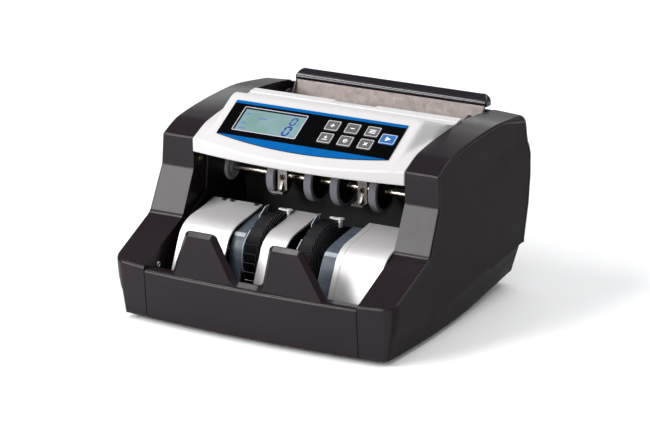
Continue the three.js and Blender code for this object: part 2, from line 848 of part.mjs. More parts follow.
const satinBlack = { color: 0x353033, roughness: 0.5, metalness: 0 };
const glossBlack = { color: 0x1b191c, roughness: 0.25, metalness: 0 };
const mattBlack = { color: 0x161518, roughness: 0.7, metalness: 0 };
const glossWhite = { color: 0xe9e9ea, roughness: 0.3, metalness: 0 };
const silver = { color: 0xc9c8c6, roughness: 0.4, metalness: 0.6 };
const steel = { color: 0xb9b4ab, roughness: 0.3, metalness: 1 };
const darkSteel = { color: 0x2a2a2c, roughness: 0.5, metalness: 0.8 };
const greyRubber = { color: 0x6d6a70, roughness: 0.8, metalness: 0 };
const blackRubber = { color: 0x151515, roughness: 0.9, metalness: 0 };
const smokyPlastic = { color: 0x3c444f, roughness: 0.2, metalness: 0 };
const displayGlass = { color: 0x9fb3a8, roughness: 0.15, metalness: 0 };
const keyGrey = { color: 0x6f7274, roughness: 0.5, metalness: 0 };
const keyBlue = { color: 0x0a6fc2, roughness: 0.5, metalness: 0 };
const boardGreen = { color: 0x1c5a34, roughness: 0.5, metalness: 0 };
const nylon = { color: 0xd7d4c8, roughness: 0.5, metalness: 0 };

const machine = new THREE.Group();
const body = new THREE.Group();
body.position.set(0, -DEPTH / 2, FOOT_HEIGHT);
machine.add(body);
const panel = new THREE.Group();
panel.position.set(0, PANEL.y, PANEL.z);
panel.rotation.x = PANEL.tilt;
body.add(panel);

function place(name, manifold, finish, group = body) {
  const mesh = new THREE.Mesh(geometryOf(manifold), new THREE.MeshStandardMaterial(finish));
  mesh.name = name;
  group.add(mesh);
  return mesh;
}

const leftHoles = [
  { y: COUNTING.y, z: COUNTING.z, radius: 6 },
  { y: FEED.y, z: FEED.z, radius: 6 },
  { y: MAIN_MOTOR.y, z: MAIN_MOTOR.z, radius: 6 },
];
const rightHoles = [
  { y: COUNTING.y, z: COUNTING.z, radius: 6 },
  { y: FEED.y, z: FEED.z, radius: 6 },
  { y: STACKER.y, z: STACKER.z, radius: 6 },
  { y: STACKER_MOTOR.y, z: STACKER_MOTOR.z, radius: 6 },
];

place("left_side_cover", mirroredX(sideCover(leftHoles)), satinBlack);
place("right_side_cover", sideCover(rightHoles), satinBlack);
place("front_panel", frontPanel(), satinBlack);
place("rear_cover", rearCover(), satinBlack);
place("base_pan", basePan(), mattBlack);
FEET.forEach(([x, y], i) => {
  place(`rubber_foot_${i + 1}`, rubberFoot(), blackRubber).position.set(x, y, 0);
});

place("control_panel_cover", controlPanelCover(), glossWhite);
place("membrane_overlay", overlay(), glossBlack, panel);
place("lcd_module", lcdModule(), displayGlass, panel);
place("control_board", controlBoard(), boardGreen, panel);
for (const [name, [x, s]] of Object.entries(KEY_CENTRES)) {
  const key = prismZ(keyOutline(x, s, KEY.width, KEY.height, 0), KEY.bottom, KEY.top);
  place(name, key, keyGrey, panel);
}
const startOutline = keyOutline(START_KEY.x, START_KEY.s, START_KEY.width, START_KEY.height, 0);
place("key_start", prismZ(startOutline, KEY.bottom, KEY.top), keyBlue, panel);

for (const [name, [x0, x1]] of Object.entries(PLATES)) place(name, stackerPlate(x0, x1), silver);
for (const [name, [x0, x1]] of Object.entries(WHEEL_GUARDS)) {
  place(name, wheelGuard(x0, x1), smokyPlastic);
}
place("stacker_wheel_left", stackerWheel(-STACKER.wheelX), mattBlack);
place("stacker_wheel_right", stackerWheel(STACKER.wheelX), mattBlack);
place("stacker_shaft", rodX(STACKER.y, STACKER.z, -101, 118, SHAFT_R), steel);
const stackerPulley = pulley(STACKER.y, STACKER.z, DRIVE_PLANE, STACKER.pulleyR);
place(
  "stacker_pulley",
  bored(stackerPulley, STACKER.y, STACKER.z, 100, 120, SHAFT_R + GAP),
  nylon,
);

place("counting_shaft", countingShaft(), steel);
ROLLER_X.forEach((x, i) => place(`counting_roller_${i + 1}`, countingRoller(x), greyRubber));
place("counting_pulley", countingPulley(), nylon);
place("feed_shaft", feedShaft(), steel);
place("feed_roller_left", feedRoller(-FEED.rollerX), greyRubber);
place("feed_roller_right", feedRoller(FEED.rollerX), greyRubber);
BRACKET_X.forEach((x, i) => {
  place(`sensor_bracket_${i ? "right" : "left"}`, sensorBracket(x), silver);
});
place("upper_deck", upperDeck(), mattBlack);
place("bay_rear_wall", bayRearWall(), mattBlack);
place("left_side_frame", mirroredX(sideFrame(MAIN_MOTOR)), darkSteel);
place("right_side_frame", sideFrame(STACKER_MOTOR), darkSteel);

place("main_motor", motor(MAIN_MOTOR, -1), steel);
place("main_motor_pulley", motorPulley(MAIN_MOTOR, -1), steel);
place("stacker_motor", motor(STACKER_MOTOR, 1), steel);
place("stacker_motor_pulley", motorPulley(STACKER_MOTOR, 1), steel);
const onMotor = { y: MAIN_MOTOR.y, z: MAIN_MOTOR.z, radius: MAIN_MOTOR.pulleyR };
const onCounting = { y: COUNTING.y, z: COUNTING.z, radius: COUNTING.pulleyR };
const onCountingFeed = { y: COUNTING.y, z: COUNTING.z, radius: COUNTING.feedPulleyR };
const onFeed = { y: FEED.y, z: FEED.z, radius: FEED.pulleyR };
const onStackerMotor = { y: STACKER_MOTOR.y, z: STACKER_MOTOR.z, radius: STACKER_MOTOR.pulleyR };
const onStacker = { y: STACKER.y, z: STACKER.z, radius: STACKER.pulleyR };
place("main_belt", belt(onMotor, onCounting, -DRIVE_PLANE), blackRubber);
place("feed_belt", belt(onCountingFeed, onFeed, -FEED_BELT_PLANE), blackRubber);
place("stacker_belt", belt(onStackerMotor, onStacker, DRIVE_PLANE), blackRubber);

place("hopper_feed_tray", feedTray(), darkSteel);
place("hopper_back_rest", hopperBackRest(), glossBlack);
place("note_guide_left", noteGuide(-1), mattBlack);
place("note_guide_right", noteGuide(1), mattBlack);
place("gap_adjust_knob", gapKnob(), mattBlack);
place("power_inlet", powerInlet(), mattBlack);
place("power_rocker", powerRocker(), glossBlack);
place("main_board", mainBoard(), boardGreen);
place("transformer", transformer(), darkSteel);

export default machine;
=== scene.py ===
"""Banknote counting machine: the visual model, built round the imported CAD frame.

Shapes are worked out in the machine's own millimetres: x to the operator's right, y the depth
behind the front face, and z the height above the covers' lower edge. to_row() turns such a place
into the frame's metres, and from_panel() does it for the tilted control panel.
"""

import math

import bmesh
import bpy
from mathutils import Matrix, Vector
from mathutils.geometry import tessellate_polygon


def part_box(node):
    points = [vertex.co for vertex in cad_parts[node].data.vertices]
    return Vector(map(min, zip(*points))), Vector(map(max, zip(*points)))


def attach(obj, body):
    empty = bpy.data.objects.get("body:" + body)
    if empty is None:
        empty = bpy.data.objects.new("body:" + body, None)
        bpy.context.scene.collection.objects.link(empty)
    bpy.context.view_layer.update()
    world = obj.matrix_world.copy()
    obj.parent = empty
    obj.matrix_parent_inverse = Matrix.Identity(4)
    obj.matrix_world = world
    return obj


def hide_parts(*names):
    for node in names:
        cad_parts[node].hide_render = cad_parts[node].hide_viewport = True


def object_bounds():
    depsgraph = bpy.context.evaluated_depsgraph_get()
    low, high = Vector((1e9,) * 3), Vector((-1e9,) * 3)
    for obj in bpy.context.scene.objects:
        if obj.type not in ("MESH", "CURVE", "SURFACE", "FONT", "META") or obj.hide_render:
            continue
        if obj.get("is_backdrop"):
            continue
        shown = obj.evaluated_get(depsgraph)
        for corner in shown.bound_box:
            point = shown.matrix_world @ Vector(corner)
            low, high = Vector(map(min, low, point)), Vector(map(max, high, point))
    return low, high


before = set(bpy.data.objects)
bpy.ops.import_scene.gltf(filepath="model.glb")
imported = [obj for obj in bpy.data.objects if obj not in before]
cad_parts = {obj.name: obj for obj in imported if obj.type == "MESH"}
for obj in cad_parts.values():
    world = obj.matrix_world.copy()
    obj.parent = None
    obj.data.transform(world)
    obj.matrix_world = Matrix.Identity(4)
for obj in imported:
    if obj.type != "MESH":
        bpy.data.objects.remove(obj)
cad_low, cad_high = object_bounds()
cad_low, cad_high = cad_low.copy(), cad_high.copy()

# ---------------------------------------------------------------- driving dimensions (mm)

MM = 0.001
ORIGIN = Vector((0.0, cad_low.y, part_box("front_panel")[0].z))

BAY_HALF = 101.8
CENTRE_HALF = 101.0
WALL = 2.5
CARRIED_SHARP = 32.0
FRONT_BOW = 4.0
FRONT_LEAN = 3.6
FRONT_RADIUS = 11.0
REAR_RADIUS = 6.0
BAND_TOP = 43.2
BAND_ROUND = 3.4
EDGE_ROUND = 1.8
SHOULDER_DROP = 2.2

PANEL_Y, PANEL_Z = 108.45, 152.2
PANEL_TILT = math.radians(30.45)


def to_row(x, y, z):
    return ORIGIN + Vector((x, y, z)) * MM


def from_panel(x, s, n):
    y = PANEL_Y + s * math.cos(PANEL_TILT) - n * math.sin(PANEL_TILT)
    z = PANEL_Z + s * math.sin(PANEL_TILT) + n * math.cos(PANEL_TILT)
    return x, y, z


def ramp(value, start, end):
    return min(max((value - start) / (end - start), 0.0), 1.0)


def smooth_ramp(value, start, end):
    share = ramp(value, start, end)
    return share * share * (3 - 2 * share)


def mix(a, b, share):
    return a + (b - a) * share


def on_line(value, points):
    """Height of a line of (place, height) points at a place."""
    for (a, height_a), (b, height_b) in zip(points, points[1:]):
        if value <= b:
            return mix(height_a, height_b, (value - a) / (b - a))
    return points[-1][1]


def box_mm(node):
    """A CAD node's lowest and highest corners in the machine's millimetres."""
    low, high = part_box(node)
    return (low - ORIGIN) / MM, (high - ORIGIN) / MM


# ---------------------------------------------------------------- materials


class Finish:
    """A Principled material whose colour, roughness and bump are driven by procedural noise."""

    def __init__(self, name, colour, roughness, **sockets):
        self.material = bpy.data.materials.new(name)
        self.material.use_nodes = True
        self.tree = self.material.node_tree
        self.shader = self.tree.nodes["Principled BSDF"]
        self.coords = self.tree.nodes.new("ShaderNodeTexCoord").outputs["Object"]
        self.colour = (*colour, 1.0)
        self.roughness = roughness
        self.shader.inputs["Base Color"].default_value = self.colour
        self.shader.inputs["Roughness"].default_value = roughness
        for socket, value in sockets.items():
            self.shader.inputs[socket.replace("_", " ")].default_value = value
        self.height = None

    def node(self, kind, **values):
        made = self.tree.nodes.new(kind)
        for key, value in values.items():
            setattr(made, key, value)
        return made

    def link(self, output, socket):
        self.tree.links.new(output, socket)

    def noise(self, size_mm, detail=2.0, stretch=(1, 1, 1)):
        """Noise whose patches are about size_mm across, drawn out along the axes in stretch."""
        mapping = self.node("ShaderNodeMapping")
        mapping.inputs["Scale"].default_value = [1 / s for s in stretch]
        self.link(self.coords, mapping.inputs["Vector"])
        noise = self.node("ShaderNodeTexNoise")
        noise.inputs["Scale"].default_value = 1 / (size_mm * MM)
        noise.inputs["Detail"].default_value = detail
        self.link(mapping.outputs["Vector"], noise.inputs["Vector"])
        return noise.outputs["Fac"]

    def spread(self, value, low, high, start=0.3, end=0.7):
        made = self.node("ShaderNodeMapRange")
        made.inputs["From Min"].default_value = start
        made.inputs["From Max"].default_value = end
        made.inputs["To Min"].default_value = low
        made.inputs["To Max"].default_value = high
        self.link(value, made.inputs["Value"])
        return made.outputs["Result"]

    def vary_colour(self, value, other):
        """Blends towards another colour where the value is high."""
        source = self.shader.inputs["Base Color"]
        blend = self.node("ShaderNodeMix", data_type="RGBA")
        before = source.links[0].from_socket if source.links else None
        if before:
            self.link(before, blend.inputs[6])
        else:
            blend.inputs[6].default_value = self.colour
        blend.inputs[7].default_value = (*other, 1.0)
        self.link(value, blend.inputs[0])
        self.link(blend.outputs[2], source)

    def vary_roughness(self, value, by):
        self.link(
            self.spread(value, self.roughness - by, self.roughness + by),
            self.shader.inputs["Roughness"],
        )

    def bump(self, value, depth_mm):
        made = self.node("ShaderNodeBump")
        made.inputs["Strength"].default_value = 1.0
        made.inputs["Distance"].default_value = depth_mm * MM
        self.link(value, made.inputs["Height"])
        if self.height:
            self.link(self.height, made.inputs["Normal"])
        self.height = made.outputs["Normal"]
        self.link(self.height, self.shader.inputs["Normal"])


def moulded_plastic(name, colour, roughness, grain_mm, grain_depth, tint, **sockets):
    """Moulded plastic: a spark-eroded grain, faint cloudy colour and handling marks in its gloss."""
    made = Finish(name, colour, roughness, **sockets)
    made.vary_colour(made.spread(made.noise(46), 0.0, 0.55), tint)
    made.vary_roughness(made.noise(11, 3.0), 0.02)
    if grain_depth:
        made.bump(made.noise(grain_mm, 1.0), grain_depth)
    return made.material


def brushed_metal(name, colour, roughness, stretch, tint, depth_mm=0.0006):
    made = Finish(name, colour, roughness, Metallic=1.0)
    lines = made.noise(0.5, 3.0, stretch)
    made.vary_colour(made.spread(made.noise(18), 0.0, 0.5), tint)
    made.vary_roughness(lines, 0.03)
    made.bump(lines, depth_mm)
    return made.material


def rubber(name, colour, roughness, tint):
    made = Finish(name, colour, roughness, Specular_IOR_Level=0.35)
    made.vary_colour(made.spread(made.noise(5, 4.0), 0.0, 0.8), tint)
    made.vary_roughness(made.noise(1.5, 3.0), 0.07)
    made.bump(made.noise(0.3, 2.0), 0.02)
    return made.material


def painted_sheet(name, colour, roughness, tint):
    """Bright steel under a fine-grained silver lacquer, with the mill's faint lines."""
    made = Finish(name, colour, roughness, Metallic=0.35, Specular_IOR_Level=0.5)
    made.vary_colour(made.spread(made.noise(30), 0.0, 0.5), tint)
    made.vary_roughness(made.noise(0.7, 3.0, (1, 12, 12)), 0.06)
    made.bump(made.noise(0.25, 1.0), 0.004)
    return made.material


def galvanised(name, colour, tint):
    """Zinc-coated steel: crystal spangle in the gloss and the colour."""
    made = Finish(name, colour, 0.36, Metallic=1.0)
    cells = made.node("ShaderNodeTexVoronoi")
    cells.inputs["Scale"].default_value = 1 / (3 * MM)
    made.link(made.coords, cells.inputs["Vector"])
    spangle = made.node("ShaderNodeSeparateColor")
    made.link(cells.outputs["Color"], spangle.inputs["Color"])
    made.vary_colour(made.spread(spangle.outputs["Red"], 0.0, 0.8, 0.0, 1.0), tint)
    made.vary_roughness(made.noise(2, 3.0), 0.08)
    made.bump(made.noise(0.6, 2.0), 0.01)
    return made.material


def speckled_steel(name, colour, tint):
    """Dark lacquered steel with a metallic speckle, as on the hopper's back rest."""
    made = Finish(name, colour, 0.46, Metallic=0.45)
    made.vary_colour(made.spread(made.noise(0.8, 3.0), 0.0, 0.7, 0.35, 0.65), tint)
    made.vary_roughness(made.noise(5, 4.0), 0.07)
    made.bump(made.noise(0.35, 2.0), 0.012)
    return made.material


def smoky(name, colour, tint):
    """Tinted clear plastic, nearly opaque over the dark works behind it."""
    made = Finish(name, colour, 0.36, Specular_IOR_Level=0.22)
    made.vary_colour(made.spread(made.noise(7, 3.0), 0.0, 0.9), tint)
    made.vary_roughness(made.noise(2.5, 4.0), 0.08)
    made.bump(made.noise(1.2, 2.0), 0.015)
    return made.material


def circuit_board(name, colour, copper):
    made = Finish(name, colour, 0.4)
    tracks = made.node("ShaderNodeTexBrick")
    tracks.inputs["Scale"].default_value = 90.0
    made.link(made.coords, tracks.inputs["Vector"])
    made.vary_colour(made.spread(tracks.outputs["Fac"], 0.0, 0.7, 0.0, 1.0), copper)
    made.bump(made.noise(1.0, 2.0), 0.02)
    return made.material


def printed(name, colour, roughness, tint):
    """Screen print on polyester film: a faint weave and slightly uneven ink."""
    made = Finish(name, colour, roughness, Specular_IOR_Level=0.02)
    made.vary_colour(made.spread(made.noise(12, 3.0), 0.0, 0.4), tint)
    made.vary_roughness(made.noise(3, 3.0), 0.04)
    made.bump(made.noise(0.4, 1.0), 0.004)
    return made.material


def display_glass(name, colour, tint):
    """A reflective liquid-crystal panel: a pale ground with faint cloudy patches of a bluer tint and a
    fine-grained bump.
    """
    made = Finish(name, colour, 0.3, Specular_IOR_Level=0.2, Coat_Weight=0.15, Coat_Roughness=0.08)
    made.vary_colour(made.spread(made.noise(22, 1.0), 0.0, 0.7), tint)
    made.vary_roughness(made.noise(6, 3.0), 0.03)
    made.bump(made.noise(0.5, 1.0), 0.003)
    return made.material


SATIN_BLACK = moulded_plastic(
    "satin_black", (0.0092, 0.0056, 0.0076), 0.23, 0.55, 0.006, (0.0118, 0.0078, 0.0102),
    Specular_IOR_Level=0.17,
)
SIDE_BLACK = moulded_plastic(
    "side_black", (0.0125, 0.0100, 0.0115), 0.5, 0.8, 0.012, (0.016, 0.013, 0.0148),
    Specular_IOR_Level=0.035,
)
MATT_BLACK = moulded_plastic(
    "matt_black", (0.009, 0.009, 0.010), 0.62, 0.5, 0.02, (0.016, 0.015, 0.017),
    Specular_IOR_Level=0.35,
)
WHEEL_BLACK = moulded_plastic(
    "wheel_black", (0.006, 0.006, 0.007), 0.42, 0.6, 0.008, (0.010, 0.010, 0.012),
    Specular_IOR_Level=0.05,
)
# painted highlight: a lighter grey on the stacker vanes' thin end faces, standing in for the light those
# edges catch
WHEEL_EDGE_HIGHLIGHT = moulded_plastic(
    "wheel_edge_highlight", (0.10, 0.095, 0.105), 0.36, 0.6, 0.008, (0.15, 0.14, 0.155),
)
GLOSS_BLACK = moulded_plastic(
    "gloss_black", (0.006, 0.004, 0.007), 0.16, 0.8, 0.0004, (0.010, 0.007, 0.012),
    Specular_IOR_Level=0.35,
)
GLOSS_WHITE = moulded_plastic(
    "gloss_white", (0.475, 0.462, 0.464), 0.32, 0.9, 0.001, (0.462, 0.449, 0.452),
    Specular_IOR_Level=0.4,
)
KEY_GREY = moulded_plastic(
    "key_grey", (0.055, 0.055, 0.056), 0.42, 0.4, 0.01, (0.069, 0.069, 0.070),
)
KEY_BLUE = moulded_plastic(
    "key_blue", (0.001, 0.080, 0.25), 0.40, 0.4, 0.01, (0.002, 0.097, 0.29),
)
NYLON = moulded_plastic(
    "nylon", (0.62, 0.60, 0.54), 0.45, 0.7, 0.01, (0.70, 0.68, 0.62),
)
DISC_GREY = moulded_plastic(
    "disc_grey", (0.30, 0.295, 0.31), 0.42, 0.7, 0.01, (0.38, 0.375, 0.39),
)
PRINT_BLACK = printed("print_black", (0.0008, 0.0008, 0.001), 0.36, (0.0016, 0.0016, 0.002))
PRINT_BLUE = printed("print_blue", (0.001, 0.073, 0.245), 0.36, (0.002, 0.085, 0.28))
PRINT_WHITE = printed("print_white", (0.72, 0.72, 0.72), 0.45, (0.62, 0.62, 0.63))
PRINT_SILVER = printed("print_silver", (0.42, 0.42, 0.43), 0.45, (0.50, 0.50, 0.50))
DISPLAY = display_glass("display", (0.115, 0.195, 0.178), (0.16, 0.25, 0.29))
DISPLAY_RIM = printed("display_rim", (0.40, 0.37, 0.44), 0.3, (0.52, 0.50, 0.56))
DISPLAY_INK = printed("display_ink", (0.012, 0.030, 0.20), 0.3, (0.02, 0.045, 0.26))
DISPLAY_INK_PALE = printed("display_ink_pale", (0.07, 0.12, 0.33), 0.3, (0.10, 0.16, 0.38))
BOARD = circuit_board("board", (0.004, 0.022, 0.009), (0.012, 0.05, 0.02))
STACKER_SILVER = painted_sheet("stacker_silver", (0.56, 0.545, 0.545), 0.42, (0.51, 0.495, 0.495))
SMOKY_PLASTIC = smoky("smoky_plastic", (0.048, 0.058, 0.076), (0.080, 0.098, 0.124))
# painted highlight: a lighter tint for the clear plastic's edges and rims, standing in for the glint
# they catch
CLEAR_EDGE_GLINT = smoky("clear_edge_glint", (0.24, 0.25, 0.28), (0.38, 0.40, 0.44))
BRIGHT_STEEL = brushed_metal(
    "bright_steel", (0.68, 0.62, 0.54), 0.27, (40, 1, 1), (0.55, 0.49, 0.41), 0.0001,
)
ZINC = galvanised("zinc", (0.13, 0.12, 0.115), (0.21, 0.195, 0.185))
DARK_STEEL = brushed_metal("dark_steel", (0.045, 0.044, 0.046), 0.45, (30, 1, 1), (0.07, 0.068, 0.07))
REST_STEEL = speckled_steel("rest_steel", (0.13, 0.105, 0.098), (0.20, 0.165, 0.155))
GREY_RUBBER = rubber("grey_rubber", (0.17, 0.155, 0.18), 0.6, (0.22, 0.205, 0.23))
BLACK_RUBBER = rubber("black_rubber", (0.012, 0.012, 0.013), 0.7, (0.022, 0.021, 0.022))
BRASS = brushed_metal("brass", (0.52, 0.36, 0.20), 0.32, (1, 1, 1), (0.40, 0.27, 0.15))

# ---------------------------------------------------------------- mesh helpers


class Form:
    """Faces gathered in millimetres and turned into one Blender piece in the frame's metres."""

    def __init__(self):
        self.bm = bmesh.new()

    def verts(self, places):
        return [self.bm.verts.new(to_row(*place)) for place in places]

    def face(self, verts, material=0):
        made = self.bm.faces.new(verts)
        made.material_index = material
        return made

    def grid(self, rows, material=0, wrap=False):
        """Quads between rows of places, each row as long as the last."""
        made = [self.verts(row) for row in rows]
        for low, high in zip(made, made[1:]):
            ends = range(len(low) if wrap else len(low) - 1)
            for i in ends:
                j = (i + 1) % len(low)
                self.face((low[i], low[j], high[j], high[i]), material)

    def flat(self, loops, material=0):
        """A flat face inside the first loop of places, with the other loops as its holes."""
        places = [place for loop in loops for place in loop]
        made = self.verts(places)
        for corners in tessellate_polygon([[Vector(place) for place in loop] for loop in loops]):
            self.face([made[i] for i in corners], material)

    def prism(self, outline, place, near, far, material=0):
        """An outline of (a, b) points extruded from near to far; place(a, b, c) gives the spot."""
        front = self.verts([place(a, b, near) for a, b in outline])
        back = self.verts([place(a, b, far) for a, b in outline])
        self.face(front, material)
        self.face(back[::-1], material)
        for i, vert in enumerate(front):
            j = (i + 1) % len(front)
            self.face((vert, back[i], back[j], front[j]), material)

    def turned_x(self, profile, y, z, sides=64, materials=None):
        """A solid of revolution round an axis along X, from a closed or open (x, radius) profile."""
        rings = []
        for i in range(sides):
            angle = 2 * math.pi * i / sides
            rings.append(
                [(x, y + r * math.cos(angle), z + r * math.sin(angle)) for x, r in profile]
            )
        made = [self.verts(ring) for ring in rings]
        for i, ring in enumerate(made):
            after = made[(i + 1) % sides]
            for k in range(len(profile) - 1):
                index = materials[k] if materials else 0
                self.face((ring[k], ring[k + 1], after[k + 1], after[k]), index)

    def piece(self, name, body, slot, materials, replaces=(), bevel=0.0, thick=0.0, sharp=40.0):
        bmesh.ops.remove_doubles(self.bm, verts=self.bm.verts, dist=0.0005 * MM)
        bmesh.ops.dissolve_degenerate(self.bm, edges=self.bm.edges, dist=0.0004 * MM)
        bmesh.ops.recalc_face_normals(self.bm, faces=self.bm.faces)
        mesh = bpy.data.meshes.new(name)
        self.bm.to_mesh(mesh)
        self.bm.free()
        made = bpy.data.objects.new(name, mesh)
        bpy.context.scene.collection.objects.link(made)
        for material in materials:
            mesh.materials.append(material)
        soften(made, bevel, sharp, thick)
        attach(made, body)
        if replaces:
            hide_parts(*replaces)
        return made


def soften(made, bevel, sharp=40.0, thick=0.0):
    """Smooth shading with rounded edges, and a wall's thickness where one is asked for."""
    made.data.shade_smooth()
    made.data.set_sharp_from_angle(angle=math.radians(sharp))
    if bevel:
        rounding = made.modifiers.new("Rounded edges", "BEVEL")
        rounding.width = bevel * MM
        rounding.segments = 3
        rounding.limit_method = "ANGLE"
        rounding.angle_limit = math.radians(sharp)
        rounding.use_clamp_overlap = True
    if thick:
        wall = made.modifiers.new("Wall", "SOLIDIFY")
        wall.thickness = thick * MM
        wall.offset = -1.0
        wall.use_even_offset = False
    normals = made.modifiers.new("Even shading", "WEIGHTED_NORMAL")
    normals.keep_sharp = not bevel


def rounded(corners, segments=6):
    """The points of a polygon whose corners (a, b, radius) are rounded where a radius is given."""
    points = []
    for i, corner in enumerate(corners):
        here = Vector(corner[:2])
        radius = corner[2] if len(corner) > 2 else 0
        if not radius:
            points.append(tuple(here))
            continue
        before = (Vector(corners[i - 1][:2]) - here).normalized()
        after = (Vector(corners[(i + 1) % len(corners)][:2]) - here).normalized()
        half = before.angle(after) / 2
        reach = radius / math.tan(half)
        centre = here + (before + after).normalized() * (radius / math.sin(half))
        start = (here + before * reach) - centre
        end = (here + after * reach) - centre
        for k in range(segments + 1):
            points.append(tuple(centre + arc_between(start, end, k / segments)))
    return points


def arc_between(start, end, share):
    """A vector turned from start to end, both of the same length."""
    angle = start.angle(end)
    if angle < 1e-6:
        return start.copy()
    return (start * math.sin((1 - share) * angle) + end * math.sin(share * angle)) / math.sin(angle)


def curve_through(points, per_span=6):
    """Catmull-Rom points through (a, b) points."""
    ends = [points[0], *points, points[-1]]
    made = []
    for p0, p1, p2, p3 in zip(ends, ends[1:], ends[2:], ends[3:]):
        for k in range(per_span):
            t = k / per_span
            made.append(
                tuple(
                    0.5 * (2 * b + (c - a) * t + (2 * a - 5 * b + 4 * c - d) * t * t
                           + (3 * b - a - 3 * c + d) * t ** 3)
                    for a, b, c, d in zip(p0, p1, p2, p3)
                )
            )
    return [*made, tuple(points[-1])]


def circle(a, b, radius, sides=24):
    turn = 2 * math.pi / sides
    return [(a + radius * math.cos(i * turn), b + radius * math.sin(i * turn)) for i in range(sides)]


def along_x(a, b, c):
    return c, a, b


def along_y(a, b, c):
    return a, c, b


def along_z(a, b, c):
    return a, b, c


def carry(node, material, bevel):
    """Keeps a CAD node's shape, with its own material and softened edges."""
    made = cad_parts[node]
    made.data.materials.clear()
    made.data.materials.append(material)
    weld = made.modifiers.new("Join faces", "WELD")
    weld.merge_threshold = 0.001 * MM
    if bevel:
        rounding = made.modifiers.new("Rounded edges", "BEVEL")
        rounding.width = bevel * MM
        rounding.segments = 2
        rounding.limit_method = "ANGLE"
        rounding.angle_limit = math.radians(CARRIED_SHARP)
    normals = made.modifiers.new("Even shading", "WEIGHTED_NORMAL")
    normals.keep_sharp = False


CARRIED = [
    (SATIN_BLACK, 0.4, ["rear_cover"]),
    (GLOSS_BLACK, 0.4, ["power_rocker"]),
    (MATT_BLACK, 0.4, ["base_pan", "note_guide_left", "note_guide_right"]),
    (MATT_BLACK, 0.3, ["upper_deck", "bay_rear_wall", "power_inlet"]),
    (MATT_BLACK, 0.2, ["gap_adjust_knob"]),
    (DARK_STEEL, 0.2, ["left_side_frame", "right_side_frame"]),
    (DARK_STEEL, 0.3, ["hopper_feed_tray"]),
    (DARK_STEEL, 0.5, ["transformer"]),
    (ZINC, 0.2, ["sensor_bracket_left", "sensor_bracket_right"]),
    (BRIGHT_STEEL, 0.5, ["main_motor", "stacker_motor"]),
    (BRIGHT_STEEL, 0.2, ["main_motor_pulley", "stacker_motor_pulley", "feed_shaft"]),
    (NYLON, 0.2, ["counting_pulley", "stacker_pulley"]),
    (BLACK_RUBBER, 0.0, ["main_belt", "feed_belt", "stacker_belt"]),
    (BLACK_RUBBER, 0.3, [f"rubber_foot_{number}" for number in range(1, 5)]),
    (BOARD, 0.2, ["main_board"]),
    (BOARD, 0.0, ["control_board"]),
]

for carried_finish, carried_bevel, carried_nodes in CARRIED:
    for carried_node in carried_nodes:
        carry(carried_node, carried_finish, carried_bevel)

# ---------------------------------------------------------------- outer form of the machine


def boat_half(y, taper):
    """Half width of a boat-like outline, widest near the front and drawn in by taper at the rear."""
    behind = y - 85
    return 128 - (taper * (behind / 165) ** 2 if behind > 0 else 1.5 * (behind / 60) ** 2)


def crease_height(y):
    return 22 + 15 * ramp(y, 90, 240)


def crease_half(y):
    return 130 + 3.5 * ramp(y, 20, 130)


def undercut_height(y):
    return 2 + 7 * ramp(y, 120, 245)


def facet_half(y, z):
    """Half width of the facet between the undercut and the lower crease."""
    under = crease_half(y) - FACET_LEAN * ramp(y, 100, 220)
    return mix(boat_half(y, 9), under, z / (crease_height(y) - 2))


SIDE_HALF, FACET_LEAN = 134.0, 3.7
UPPER_HALF = [(40, SIDE_HALF), (71, 135.5), (95, 134.9), (117, 134.1), (140, 133), (165, 131.5)]
BACK = [
    (0, 246), (40, 246.5), (71, 251), (95, 255), (114, 256), (122, 255.2), (126, 253.6),
    (140, 252), (165, 249),
]
WEDGE_START, WEDGE_END, WEDGE_STEP = 129, 240, 1.5


def skin_half(y, z):
    """Half width of the outer skin: the side swells, and a wedge tapers it in towards the rear."""
    crease = crease_height(y)
    undercut = undercut_height(y)
    if z < undercut:
        half = mix(boat_half(y, 19), facet_half(y, undercut), z / undercut)
    elif z < crease - 2:
        half = facet_half(y, z)
    elif z < crease:
        half = crease_half(y) - FACET_LEAN * ramp(y, 100, 220) * (crease - z) / 2
    elif z < 40:
        half = mix(crease_half(y), SIDE_HALF, smooth_ramp(z, crease - 12, 40))
    else:
        half = on_line(z, UPPER_HALF)
    along = ramp(y, WEDGE_START, WEDGE_END)
    lower = 111 + 3.5 * along
    upper = 112 + 17 * along
    return half - WEDGE_STEP * along * ramp(z, lower, upper)


def front_lean(z):
    return on_line(z, [(0, FRONT_LEAN), (20, 1.8), (40, 0), (200, 0)])


def front_face(x, z):
    return front_lean(z) + FRONT_BOW * (x / BAY_HALF) ** 2


def arc_corner(before, corner, after, radius, steps):
    """Points of a rounded corner between two neighbours, all (y, z)."""
    points = rounded([(*before, 0), (*corner, radius), (*after, 0)], steps)
    return points[1:-1]


SLOPE_START, SLOPE_END = (3.6, 44.7), (65.3, 71.9)
SHOULDER_WIDTH = 38.2

# each corner of the covers' profile: its place (y, z), the radius there and the steps round it
TOP_CORNERS = [
    (SLOPE_START, 0, 0),
    (SLOPE_END, 9, 8),
    ((84.2, 109.8), 7, 8),
    ((85.1, 136.6), 2.6, 7),
    ((97, 142.6), 60, 3),
    ((106.8, 146.6), 44, 5),
    ((129.2, 150.4), 400, 6),
    ((155.3, 153.4), 450, 6),
    ((191, 155.6), 190, 8),
    ((219.7, 153.2), 600, 5),
    ((250.8, 149.3), 8, 9),
    ((253.6, 126), 0, 0),
]


def top_line():
    """The covers' profile over the top, (y, z), with every crease rounded and long spans divided."""
    corners = [corner for corner, _, _ in TOP_CORNERS]
    points = [(4.0, 44.88)]
    for i in range(1, len(corners) - 1):
        _, radius, steps = TOP_CORNERS[i]
        bend = arc_corner(corners[i - 1], corners[i], corners[i + 1], radius, steps)
        start, end = Vector(points[-1]), Vector(bend[0])
        spans = max(1, round((end - start).length / 9))
        points += [tuple(start.lerp(end, k / spans)) for k in range(1, spans)]
        points += bend
    return points


